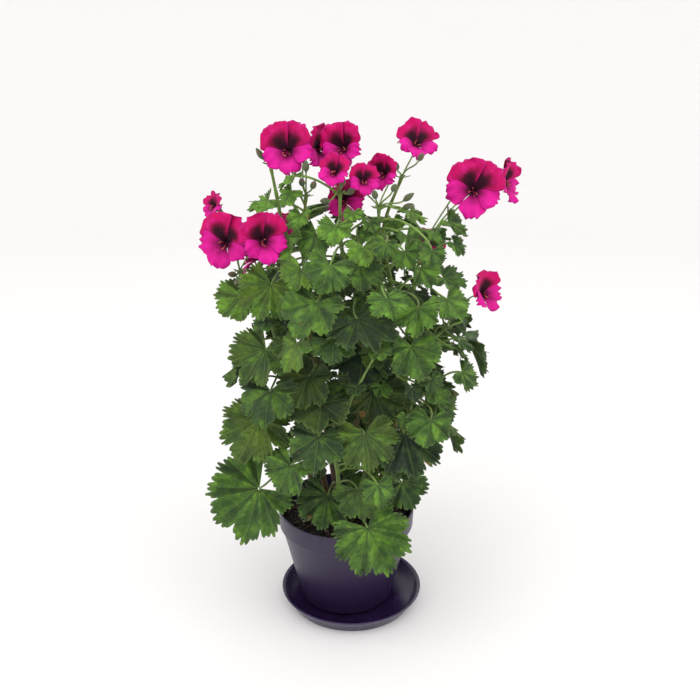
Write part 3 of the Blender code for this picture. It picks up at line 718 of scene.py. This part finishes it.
class Piece:
    """Points, faces and looks of one visible piece, gathered part by part."""

    def __init__(self, name, looks):
        self.name, self.looks = name, looks
        self.points, self.faces, self.slots, self.marks, self.tones = [], [], [], [], []
        self.count = 0

    def add(self, look, points, faces, marks=None, tone=(0, 0, 0)):
        """Marks say where a point is on its leaf, petal or stalk, and a tone is for all of it."""
        points = np.asarray(points, dtype=float).reshape(-1, 3)
        self.points.append(points)
        self.marks.append(np.zeros((len(points), 4)) if marks is None else marks)
        self.tones.append(np.broadcast_to(tone, (len(points), 3)))
        for corners in faces:
            self.faces.append(np.asarray(corners) + self.count)
            self.slots.append(np.full(len(corners), self.looks.index(look)))
        self.count += len(points)

    def add_tube(self, look, path, radii, sides, tone=(0, 0, 0)):
        points, faces, marks = round_tube(path, radii, sides)
        self.add(look, points, faces, marks, tone)

    def add_sheet(self, look, grid, marks, thickness, turn, place, tone):
        """A thin sheet along a flat grid, turned and put in place. The last part of its tone is
        1 on the under face."""
        points, faces = slab(grid, thickness)
        tone = np.stack([*[np.full(len(points), part) for part in tone],
                         np.repeat([0, 1], len(marks))], axis=-1)
        self.add(look, points @ array(turn.transposed()) + np.array(place), faces,
                 np.concatenate([marks, marks]), tone)

    def make(self):
        mesh = bpy.data.meshes.new(self.name)
        faces = [corners for part in self.faces for corners in part.tolist()]
        mesh.from_pydata(np.concatenate(self.points) * MM, [], faces)
        mesh.polygons.foreach_set("material_index", np.concatenate(self.slots))
        for look in self.looks:
            mesh.materials.append(look)
        marks = np.concatenate(self.marks)
        for name, values in (("place", marks[:, :3]), ("tone", np.concatenate(self.tones))):
            values = np.ascontiguousarray(values, dtype=np.float32)
            mesh.attributes.new(name, "FLOAT_VECTOR", "POINT").data.foreach_set(
                "vector", values.ravel())
        mesh.attributes.new("edge", "FLOAT", "POINT").data.foreach_set(
            "value", marks[:, 3].astype(np.float32))
        mesh.shade_smooth()
        return added(mesh)


def array(vectors):
    return np.array([tuple(v) for v in vectors])


def slab(grid, thickness):
    """A closed thin solid along a grid of points: its points, the upper ones first, and quads."""
    rows, columns = grid.shape[:2]
    normal = np.cross(np.gradient(grid, axis=1), np.gradient(grid, axis=0))
    normal *= thickness / 2 / np.maximum(np.linalg.norm(normal, axis=2, keepdims=True), 1e-9)
    points = np.concatenate([(grid + normal).reshape(-1, 3), (grid - normal).reshape(-1, 3)])
    index = np.arange(rows * columns).reshape(rows, columns)
    upper = np.stack([index[:-1, :-1], index[:-1, 1:], index[1:, 1:], index[1:, :-1]], axis=-1)
    upper = upper.reshape(-1, 4)
    rim = np.concatenate([index[0], index[1:, -1], index[-1, -2::-1], index[-2:0:-1, 0]])
    after = np.roll(rim, -1)
    below = rows * columns
    walls = np.stack([after, rim, rim + below, after + below], axis=-1)
    return points, [upper, upper[:, ::-1] + below, walls]


def round_tube(path, radii, sides=8):
    """A closed round tube: its points, quads and ends, and how far along it each point is."""
    path = array(path)
    radii = np.asarray(radii, dtype=float)
    along = np.gradient(path, axis=0)
    along /= np.maximum(np.linalg.norm(along, axis=1, keepdims=True), 1e-9)
    side = np.array([0.83, 0.5, 0.24])
    rings = []
    angles = np.arange(sides) * math.tau / sides
    for centre, way, radius in zip(path, along, radii):
        side = side - way * side.dot(way)
        side /= np.linalg.norm(side)
        across = np.cross(way, side)
        rings.append(centre + radius * (np.outer(np.cos(angles), side)
                                        + np.outer(np.sin(angles), across)))
    marks = np.zeros((len(path) * sides, 4))
    marks[:, 0] = np.repeat(np.linspace(0, 1, len(path)), sides)
    return np.concatenate(rings), ring_faces(len(path), sides), marks


def smooth_step(x):
    x = np.clip(x, 0, 1)
    return x * x * (3 - 2 * x)


def leaf_grid(size, cup, phase, rng):
    """A lobed, toothed and pleated blade as a grid of points from the sinus out, and its marks:
    distance from the sinus in mm, place across the lobes, angle of a lobe, share of the way out."""
    lobes = 7 if size > 50 else 5
    fine = 3 if size > FINE_LEAF else 2
    across = np.linspace(lobes, 0, lobes * TEETH * fine + 1)
    step = 2 * LEAF_FAN / lobes
    phi = across * step - LEAF_FAN
    lobe_at = across % 1
    lengths, sizes, bends = [
        np.array([rng.uniform(*limits) for _ in range(count + 1)]) for limits, count
        in (((0.9, 1.06), lobes), ((0.3, 1.5), lobes * TEETH), ((-0.17, 0.17), lobes))]
    base = (0.55 + 0.45 * np.cos(0.62 * phi)) * np.interp(across, range(lobes + 1), lengths)
    smooth = base * (0.76 + 0.19 * np.sin(np.pi * lobe_at) ** 0.7
                     + 0.05 * abs(np.sin(1.5 * math.tau * lobe_at)))
    tooth = (1 - abs(2 * ((across * TEETH) % 1) - 1)) * sizes[(across * TEETH).astype(int)]
    rho = np.array(LEAF_ROWS if size > FINE_LEAF else LEAF_ROWS[::2])[:, None]
    outer = np.clip((rho - 0.72) / 0.28, 0, 1)
    reach = smooth * rho + TOOTH * tooth * outer
    edge = (cup * smooth ** 2 + 0.08 * np.sin(2 * phi + phase)
            - 0.12 * np.maximum(0, np.cos(phi)) ** 2)
    pleat = np.cos(math.tau * lobe_at) * np.where((across < 0.5) | (across > lobes - 0.5), 0.5, 1)
    height = (edge * rho ** 1.3 + 0.09 * pleat * rho ** 1.1
              + 0.045 * np.sin(10.7 * phi + 3 * phase) * rho ** 3
              + 0.035 * np.sin(19 * phi + 7 * phase) * rho ** 4
              + np.interp(across, range(lobes + 1), bends) * np.maximum(rho, 0.3) * rho
              + 0.04 * (tooth - 0.4) * outer)
    length = size / 1.64
    grid = length * np.stack([-reach * np.sin(phi), reach * np.cos(phi), height], axis=-1)
    marks = np.stack(np.broadcast_arrays(length * reach, across, step, rho), axis=-1)
    return grid, marks.reshape(-1, 4)


def grow_small_leaves(plant):
    """Young leaves along the stems, which leave the flowers and the pale gaps in sight."""
    rng = plant.rng
    in_sight = [*LIGHT_GAPS, *SMALL_GAPS, *[(u, v) for _name, u, v, *_rest in BLOOMS]]
    for _ in range(SMALL_LEAVES):
        unit = Vector([rng.gauss(0, 1) for _ in range(3)]).normalized()
        middle = CROWN + unit * Vector(CROWN_R) * rng.uniform(0.35, 0.98)
        width = rng.uniform(*SMALL_WIDTH)
        lift, roll = rng.uniform(20, 65), rng.uniform(-40, 40)
        light = rng.uniform(0.05, 0.5)
        if 110 < middle.z < 320 or rng.random() < 0.25 and middle.z > 320:
            grow_leaf(plant, middle, width, azimuth_of(middle) + rng.uniform(-30, 30), lift, roll,
                      0.16, False, in_sight, light)


def show_leaf(piece, leaf, looks, rng):
    """A blade and its stalk. Leaves high up get painted light and are lighter."""
    _node, start, sinus, turn, size, cup, phase, light = leaf
    # Painted light on the leaves high up
    light += 0.45 * smooth_step((sinus.z - 280) / 100)
    grid, marks = leaf_grid(size, cup, phase, rng)
    piece.add_sheet(looks["leaf"], grid, marks, LEAF_SHEET, turn, sinus, (light, rng.random()))
    radii = [1.35, 1.1] + [0.95] * 9 + [0.9, 0.75]
    piece.add_tube(looks["stem"], stalk_path(start, sinus, turn, 12), radii, 7,
                   (rng.random(), 0, 0))


def show_stem(piece, stem, looks, rng):
    _name, knots, has_umbel = stem
    path = smooth_path(knots, 10)
    share = np.linspace(0, 1, len(path))
    radii = STEM_R + (SLIM_R - STEM_R) * share ** 1.2
    radii += 0.35 * np.maximum(0, np.sin(share * 47)) ** 8
    if has_umbel:
        radii[-2:] = 1.6, 1.9
        show_scales(piece, looks["stem"], path[-1] - UP * 1.5, UP, 7, 7.5, 1.5, 0.8, rng)
    piece.add_tube(looks["stem"], path, radii, 12, (rng.random(), 0, 1))


def show_bud(piece, base, direction, length, looks, rng):
    """A pointed bud, which shows a little of its petals at the tip."""
    share = np.linspace(0, 1, 11)
    radii = np.maximum(BUD_R * np.sin(np.pi * share ** 0.8) ** 0.7, 0.25)
    radii[0] = PEDICEL_R
    path = [base + direction * (length * t) for t in share]
    piece.add_tube(looks["bud"], path, radii, 10, (rng.random(), 0, 0))


def show_scales(piece, look, place, way, count, length, half, spread, rng):
    """A ring of pointed scales, which stand out from a direction by a share of their length."""
    t = np.linspace(0, 1, 6)[:, None, None]
    u = np.linspace(1, -1, 5)[None, :, None]
    for k in range(count):
        turn = Matrix.Rotation(math.tau * (k + 0.4 * rng.random()) / count, 3, way)
        out = turn @ way.orthogonal().normalized()
        across = way.cross(out)
        long = length * rng.uniform(0.75, 1.1)
        grid = (np.array(place + out * 0.8) + np.array(out) * long * spread * t
                + np.array(way) * (long * (1 - spread) * t + 0.4 * u * u)
                + np.array(across) * u * half * (0.5 + 1.1 * t) * (1 - t) ** 0.6)
        points, faces = slab(grid, PETAL_SHEET)
        piece.add(look, points, faces, None, (rng.random(), 0, 0))


def show_calyx(piece, base, direction, looks, rng):
    """A tube and five pointed sepals spread behind the petals."""
    path = [base + direction * d for d in (-0.5, 1, 3, 4.8)]
    piece.add_tube(looks["bud"], path, (0.9, 1.7, 2.1, 1.6), 10, (rng.random(), 0, 0))
    show_scales(piece, looks["stem"], base + direction * 3.6, direction, 5, 9, 1.5, 0.85, rng)


def show_pedicel(piece, pedicel, looks, rng):
    _node, bend, direction, length, has_calyx = pedicel
    path = arc(*bend, 10)
    piece.add_tube(looks["stem"], path, [PEDICEL_R * 0.85] * len(path), 7, (rng.random(), 0, 0))
    if has_calyx:
        show_calyx(piece, bend[-1], direction, looks, rng)
    else:
        show_bud(piece, bend[-1], direction, length, looks, rng)


def petal_grid(radius, middle, length, phase, rng):
    """A broad waved petal as a grid of points from the throat out, and its marks: share of the
    way out, place across, 1 for the upper two, and how near its edge it is."""
    upper = middle in UPPER_PETALS
    w = np.linspace(0, 1, 12)[:, None]
    u = np.linspace(-1, 1, 19)[None, :]
    half = radius * (0.7 if upper else 0.44) * rng.uniform(0.93, 1.05)
    length *= rng.uniform(0.92, 1.03)
    width = half * (0.16 + 0.84 * smooth_step(w / 0.66))
    width = width * (1 - 0.34 * np.clip((w - 0.66) / 0.34, 0, 1) ** 2)
    sway = rng.uniform(0, math.tau)
    notch = 0.05 * np.exp(-(u / 0.25) ** 2) + 0.03 * np.sin(11 * u + sway)
    out = radius * (0.03 + length * w * (1 - 0.2 * abs(u) ** 3 * w ** 2 - notch * w ** 6))
    cupped = 0.7 + 0.25 * abs(math.sin(3 * phase))
    rise = radius * (cupped * w ** 0.85 - 0.34 * w ** 2.5
                     + 0.12 * np.sin(3.1 * u + phase + middle) * w ** 2
                     + 0.08 * np.sin(9 * u + sway) * w ** 4)
    if upper:
        rise = rise + radius * 0.06 * (middle - 90) / 36 * w
    else:
        rise = rise - radius * (0.12 * w ** 2 + 0.1 * u ** 2 * w)
    across = u * width
    rise = rise + across * 0.12
    angle = math.radians(middle + (0 if upper else rng.uniform(-8, 8)))
    x = out * math.cos(angle) + across * math.sin(angle)
    y = out * math.sin(angle) - across * math.cos(angle)
    grid = np.stack(np.broadcast_arrays(x, y, rise), axis=-1)
    edge = np.maximum(abs(u), w)
    marks = np.stack(np.broadcast_arrays(w, u, float(upper), edge), axis=-1).reshape(-1, 4)
    return grid, marks


def show_bloom(bloom, looks, rng):
    name, radius, phase, turn, throat = bloom
    piece = Piece("look_" + name, [looks["petal"], looks["stamen"]])
    for middle, length in PETALS:
        grid, marks = petal_grid(radius, middle, length, phase, rng)
        piece.add_sheet(looks["petal"], grid, marks, PETAL_SHEET, turn, throat,
                        (rng.random(), rng.random()))
    for k in range(6):
        angle = rng.uniform(0, math.tau)
        lean = at(math.cos(angle) * 0.12, math.sin(angle) * 0.12 - 0.1, 0.32) * radius
        path = [turn @ (lean * t) + throat for t in (0.05, 0.5, 0.9, 1, 1.12, 1.18)]
        radii = (0.3, 0.25, 0.22, 0.55, 0.5, 0.2) if k else (0.35, 0.3, 0.3, 0.3, 0.45, 0.3)
        piece.add_tube(looks["stamen"], path, radii, 5)
    return piece.make()


def softened(profile, reach=0.9, steps=3):
    """A profile with each corner rounded off."""
    made = []
    for before, corner, after in zip(profile[:-2], profile[1:-1], profile[2:]):
        corner = np.array(corner)
        ends = []
        for other in (before, after):
            way = np.array(other) - corner
            distance = np.linalg.norm(way)
            ends.append(corner + way / distance * min(reach, distance * 0.45))
        for t in np.linspace(0, 1, steps + 1):
            made.append((1 - t) ** 2 * ends[0] + 2 * t * (1 - t) * corner + t ** 2 * ends[1])
    return [profile[0], *made, profile[-1]]


def show_soil(looks, rng):
    """A lumpy top with bark crumbs and pale grains, over a plain body."""
    edge = pot_inner_r(BAND_Z) - 0.4
    piece = Piece("look_soil", [looks["soil"], looks["grain"]])
    profile = [(POT_FOOT_R - 5.6, 4), (edge, BAND_Z)]
    profile += [(edge * share, SOIL_TOP_Z) for share in np.linspace(1, 0.01, 26)]
    points, faces = turned(profile, POT_X, POT_Y, SMOOTH_TURNS)
    bumps = np.random.default_rng(SEED)
    top = points[:, 2] >= SOIL_TOP_Z
    lumps = sum(np.sin(points[:, 0] * a + points[:, 1] * b + c) for a, b, c
                in bumps.uniform(-1.1, 1.1, (9, 3)) * (1, 1, 6)) / 3
    points[top, 2] += np.clip(lumps[top], -1.5, 1.5) - 1.5
    piece.add(looks["soil"], points, faces)
    for _ in range(CRUMBS):
        angle, r = rng.uniform(0, math.tau), edge * math.sqrt(rng.random()) * 0.95
        size = rng.uniform(0.6, 2.2)
        middle = at(POT_X + r * math.cos(angle), POT_Y + r * math.sin(angle),
                    SOIL_TOP_Z - 1 + size * 0.3)
        way = Vector([rng.uniform(-1, 1) for _ in range(3)]).normalized()
        path = [middle + way * size * t for t in (-1, -0.5, 0.4, 1)]
        piece.add_tube(looks["grain"], path, [size * f for f in (0.3, 0.7, 0.6, 0.25)], 5,
                       (rng.random(), 0, 0))
    return piece.make()


def colour(rgb):
    """Linear colour of sRGB values out of 255."""
    values = [v / 255 for v in rgb]
    return (*[v / 12.92 if v < 0.04045 else ((v + 0.055) / 1.055) ** 2.4 for v in values], 1)


class Value:
    """A number or a colour in a material's nodes. Sums and products of values are nodes too."""

    def __init__(self, look, socket):
        self.look, self.socket = look, socket

    def math(self, operation, other=0.0):
        return self.look.node("Math", {0: self, 1: other}, operation=operation)

    def __add__(self, other):
        return self.math("ADD", other)

    def __sub__(self, other):
        return self.math("SUBTRACT", other)

    def __mul__(self, other):
        return self.math("MULTIPLY", other)

    def __truediv__(self, other):
        return self.math("DIVIDE", other)

    def __pow__(self, other):
        return self.math("POWER", other)

    def from_middle(self):
        """Distance of the value's fraction from a half."""
        return (self.math("FRACT") - 0.5).math("ABSOLUTE")

    def ramp(self, low, high, at_low=0.0, at_high=1.0):
        """A smooth step between two values."""
        return self.look.node("MapRange", {0: self, 1: low, 2: high, 3: at_low, 4: at_high},
                              interpolation_type="SMOOTHSTEP")


class Look:
    """A material whose nodes are each made by a short call."""

    def __init__(self, name, **settings):
        self.material = bpy.data.materials.new(name)
        self.material.use_nodes = True
        self.tree = self.material.node_tree
        self.shader = self.tree.nodes["Principled BSDF"]
        for key, value in settings.items():
            self.join(self.shader, key.replace("_", " "), value)

    def join(self, node, key, value):
        if isinstance(value, Value):
            self.tree.links.new(value.socket, node.inputs[key])
        else:
            node.inputs[key].default_value = colour(value) if isinstance(value, tuple) else value

    def node(self, kind, inputs, output=0, **settings):
        """One output of a new node."""
        made = self.tree.nodes.new("ShaderNode" + kind)
        for key, value in settings.items():
            setattr(made, key, value)
        for key, value in inputs.items():
            self.join(made, key, value)
        return Value(self, made.outputs[output])

    def mix(self, share, a, b):
        """One colour mixed with a share of another."""
        return self.node("Mix", {0: share, 6: a, 7: b}, 2, data_type="RGBA")

    def noise(self, scale, detail=3.0):
        where = self.node("TexCoord", {}, "Object")
        return self.node("TexNoise", {"Vector": where, "Scale": scale, "Detail": detail})

    def parts(self, name):
        """The three values that each point carries under a name."""
        vector = self.node("Attribute", {}, "Vector", attribute_name=name)
        return [self.node("SeparateXYZ", {0: vector}, axis) for axis in range(3)]

    def edge(self):
        return self.node("Attribute", {}, "Fac", attribute_name="edge")

    def finish(self, base, height=None, distance=0.0, strength=1.0):
        """The material, once it has its colour and, where there is a height, its bumps."""
        self.join(self.shader, "Base Color", base)
        if height:
            bump = {"Height": height, "Distance": distance, "Strength": strength}
            self.join(self.shader, "Normal", self.node("Bump", bump))
        return self.material


def leaf_look():
    """Green with pale ribs and branch veins, painted shade on one side of each rib and in
    the hollows of its bumps, and painted highlights and shade in patches, as on creases.
    """
    look = Look("leaf", Roughness=0.6, Specular_IOR_Level=0.3, Sheen_Weight=0.05)
    r, across, step = look.parts("place")
    light, chance, under = look.parts("tone")
    rho = look.edge()
    distance = across.from_middle() * step * r
    rib = distance.ramp(0.25, 0.95, 1.0, 0.0)
    branch = ((r - distance * 0.85) / BRANCH_GAP).from_middle()
    vein = branch.ramp(0.03, 0.11, 0.8, 0.0) * rho.ramp(0.1, 0.3)
    pucker, patches, fold_lighting = look.noise(240.0, 4.0), look.noise(38.0, 2.0), look.noise(90.0)
    lobe_at = across.math("FRACT")
    # Painted shade on one side of each rib, as if lit from the other side
    shaded = lobe_at.ramp(0.46, 0.54) * lobe_at.ramp(0.8, 1.0, 0.6, 0.1)
    spots = look.noise(62.0, 4.0).ramp(0.69, 0.74) * rho.ramp(0.5, 0.9)
    # Painted light and shade: each leaf's green from dark to bright by its light level
    green = look.mix(light, LEAF_DARK, LEAF_BRIGHT)
    # Painted highlights and painted shade in patches, as on creases
    green = look.mix(fold_lighting.ramp(0.5, 0.62, 0.0, 0.5) * light.ramp(-0.3, 0.6), green, LEAF_HIGHLIGHT)
    green = look.mix(fold_lighting.ramp(0.36, 0.48, 0.4, 0.0), green, LEAF_SHADE)
    green = look.mix(shaded * patches.ramp(0.35, 0.6, 0.4, 1.0), green, LEAF_SHADE)
    green = look.mix(chance.ramp(0.55, 1.0) * patches.ramp(0.4, 0.8, 0.1, 0.6), green, LEAF_YELLOW)
    # Painted shade in the hollows of the bumps
    green = look.mix(pucker.ramp(0.35, 0.75, 0.22, 0.0), green, LEAF_HOLLOW_SHADE)
    green = look.mix(rib * 0.22 + vein * 0.07, green, LEAF_VEIN)
    green = look.mix(rho.ramp(0.93, 1.0, 0.0, 0.2), green, LEAF_VEIN)
    green = look.mix(under * 0.65, green, LEAF_UNDER)
    green = look.mix(spots * 0.8, green, LEAF_DRY)
    return look.finish(green, pucker * 0.5 - rib.math("MAXIMUM", vein), 0.0013, 0.8)


def stem_look():
    """Green, brown and woody toward the foot of a stem."""
    look = Look("stem", Roughness=0.55, Specular_IOR_Level=0.35, Sheen_Weight=0.1)
    along, tone = look.parts("place")[0], look.parts("tone")
    patches = look.noise(120.0)
    brown = tone[2] * along.ramp(0.05, 0.5, 0.9, 0.0) + tone[0].ramp(0.7, 1.0, 0.0, 0.35)
    green = look.mix(patches.ramp(0.3, 0.7), STEM_GREEN, STEM_DULL)
    return look.finish(look.mix(brown, green, STEM_BROWN), patches, 0.0003, 0.5)


def bud_look():
    """Green that turns pink toward the tip."""
    look = Look("bud", Roughness=0.6, Sheen_Weight=0.2)
    along, chance = look.parts("place")[0], look.parts("tone")[0]
    patches = look.noise(300.0)
    pink = patches.ramp(0.4, 0.65) * along.ramp(0.2, 1.0, 0.25, 1.0) * chance.ramp(0.0, 1.0, 0.4)
    return look.finish(look.mix(pink, BUD_GREEN, BUD_PINK), patches, 0.0004, 0.6)


def petal_look():
    """Magenta, redder on the upper petals, with dark lines and a blotch toward the throat."""
    look = Look("petal", Roughness=0.6, Specular_IOR_Level=0.12, Sheen_Weight=0.02)
    out, across, upper = look.parts("place")
    chance, _other, under = look.parts("tone")
    cloud = look.noise(160.0)
    base = look.mix(upper, PETAL_LOWER, PETAL_UPPER)
    base = look.mix(chance.ramp(0.2, 1.0, 0.0, 0.3), base, PETAL_DEEP)
    base = look.mix(cloud.ramp(0.45, 0.8, 0.0, 0.4), base, PETAL_CLOUD)
    base = look.mix(look.edge().ramp(0.92, 1.0, 0.0, 0.6), base, PETAL_EDGING)
    lines = ((across + cloud * 0.12) * PETAL_LINES).from_middle()
    lines = lines.ramp(0.04, 0.2, 1.0, 0.0) * out.ramp(0.35, 0.85, 0.4, 0.0)
    base = look.mix(lines, base, MAROON)
    far = ((out - 0.2) / 0.5) ** 2.0
    wide = (across.math("ABSOLUTE") / 0.9) ** 2.0
    spot = far + wide + cloud * 0.5 + upper.ramp(0.0, 1.0, 0.7, 0.0)
    base = look.mix(spot.ramp(0.5, 1.5, 0.9, 0.0), base, MAROON)
    base = look.mix(spot.ramp(0.35, 0.95, 1.0, 0.0), base, BLOTCH)
    base = look.mix(out.ramp(0.1, 0.7, 0.4, 0.0) * upper.ramp(0.0, 1.0, 1.0, 0.2), base, MAROON)
    base = look.mix(out.ramp(0.06, 0.36, 1.0, 0.0), base, BLOTCH)
    base = look.mix(under * 0.3, base, PETAL_UNDER)
    return look.finish(base, lines + cloud * 0.5, 0.0003, 0.5)


def plastic_look(name, rgb, roughness, grain):
    look = Look(name)
    fine = look.noise(grain, 4.0)
    look.join(look.shader, "Roughness", fine.ramp(0.3, 0.7, roughness, roughness + 0.06))
    lighter = tuple(v * 1.25 for v in rgb)
    return look.finish(look.mix(fine.ramp(0.3, 0.7), rgb, lighter), fine, 0.00005, 0.2)


def soil_look(name, dark, light, scale):
    look = Look(name, Roughness=0.95)
    crumbs = look.noise(scale, 5.0)
    share = crumbs.ramp(0.4, 0.75, 0.0, 0.6) + look.parts("tone")[0].ramp(0.6, 1.0, 0.0, 0.5)
    return look.finish(look.mix(share, dark, light), crumbs, 0.0012, 1.0)


def stamen_look():
    look = Look("stamen", Roughness=0.5)
    share = look.parts("place")[0].ramp(0.5, 0.6)
    return look.finish(look.mix(share, STAMEN, ANTHER))


def floor_look():
    look = Look("floor", Roughness=0.9)
    return look.finish(look.mix(look.noise(400.0, 2.0), FLOOR_COLOUR, FLOOR_MATE))


def stand(piece, node, slot):
    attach(piece, "root")
    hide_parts(node)


def show_plant(looks):
    plant = Plant()
    for profile, x, y in ((POT_PROFILE, POT_X, POT_Y), (SAUCER_PROFILE, 0, 0)):
        points, faces = turned(profile, x, y, TURNS)
        faces = [corners for part in faces for corners in part.tolist()]
        plant.placed.append(Obstacle((points.tolist(), faces), "pot", "pot"))
    grow_stems(plant)
    grow_flowers(plant)
    grow_leaves(plant)
    grow_small_leaves(plant)
    rng = random.Random(SEED + 1)
    for bloom in plant.blooms:
        stand(show_bloom(bloom, looks, rng), bloom[0], "petal")
    for stem in plant.stems:
        piece = Piece("look_" + stem[0], [looks["leaf"], looks["stem"], looks["bud"]])
        show_stem(piece, stem, looks, rng)
        for leaf in plant.leaves:
            if leaf[0] == stem[0]:
                show_leaf(piece, leaf, looks, rng)
        for pedicel in plant.pedicels:
            if pedicel[0] == stem[0]:
                show_pedicel(piece, pedicel, looks, rng)
        stand(piece.make(), stem[0], "leaf")


def show_pot(looks):
    for name, profile, x, y, look in (
            ("saucer", SAUCER_PROFILE, 0, 0, looks["saucer"]),
            ("pot", POT_PROFILE, POT_X, POT_Y, looks["pot"])):
        piece = Piece("look_" + name, [look])
        piece.add(look, *turned(softened(profile), x, y, SMOOTH_TURNS))
        stand(piece.make(), name, name + "_plastic")


def make_studio():
    """A pale round sweep, a bright sky and two soft lights."""
    bend = [(SWEEP_R + SWEEP_BEND * math.sin(a), SWEEP_BEND * (1 - math.cos(a)))
            for a in np.linspace(0, math.pi / 2, 16)]
    points, (quads, ends) = turned([(SWEEP_R / 2, 0), *bend], 0, 0, SMOOTH_TURNS)
    mesh = bpy.data.meshes.new("floor")
    mesh.from_pydata(points * MM, [], [*quads.tolist(), ends[0].tolist()])
    mesh.shade_smooth()
    mesh.materials.append(floor_look())
    floor = added(mesh)
    world = bpy.data.worlds.new("studio")
    bpy.context.scene.world = world
    world.use_nodes = True
    sky = world.node_tree.nodes["Background"].inputs
    sky["Color"].default_value = SKY_COLOUR
    sky["Strength"].default_value = SKY_STRENGTH
    for place, watts in LAMPS:
        light = bpy.data.lights.new("window", "AREA")
        light.shape = "DISK"
        light.size = LAMP_SIZE
        light.energy = watts
        lamp = added(light)
        lamp.location = place
        aim = Vector(LAMP_TARGET) - Vector(place)
        lamp.rotation_euler = aim.to_track_quat("-Z", "Y").to_euler()


def make_camera():
    data = bpy.data.cameras.new("camera")
    data.sensor_width = SENSOR_MM
    data.lens = FOCAL_PX / (2 * MIDDLE_PX) * SENSOR_MM
    camera = added(data)
    camera.location = EYE * MM
    camera.rotation_euler = (math.pi / 2 - PITCH, 0, 0)
    bpy.context.scene.camera = camera
    bpy.context.scene.view_settings.view_transform = "Standard"


LOOKS = {
    "leaf": leaf_look(), "stem": stem_look(), "bud": bud_look(), "petal": petal_look(),
    "stamen": stamen_look(), "pot": plastic_look("pot", POT_PLASTIC, 0.36, 900.0),
    "saucer": plastic_look("saucer", SAUCER_PLASTIC, 0.22, 60.0),
    "soil": soil_look("soil", SOIL_DARK, SOIL_BROWN, 260.0),
    "grain": soil_look("grain", SOIL_BROWN, SOIL_GRAIN, 500.0),
}
show_pot(LOOKS)
stand(show_soil(LOOKS, random.Random(SEED + 2)), "soil", "soil")
show_plant(LOOKS)
make_studio()
make_camera()
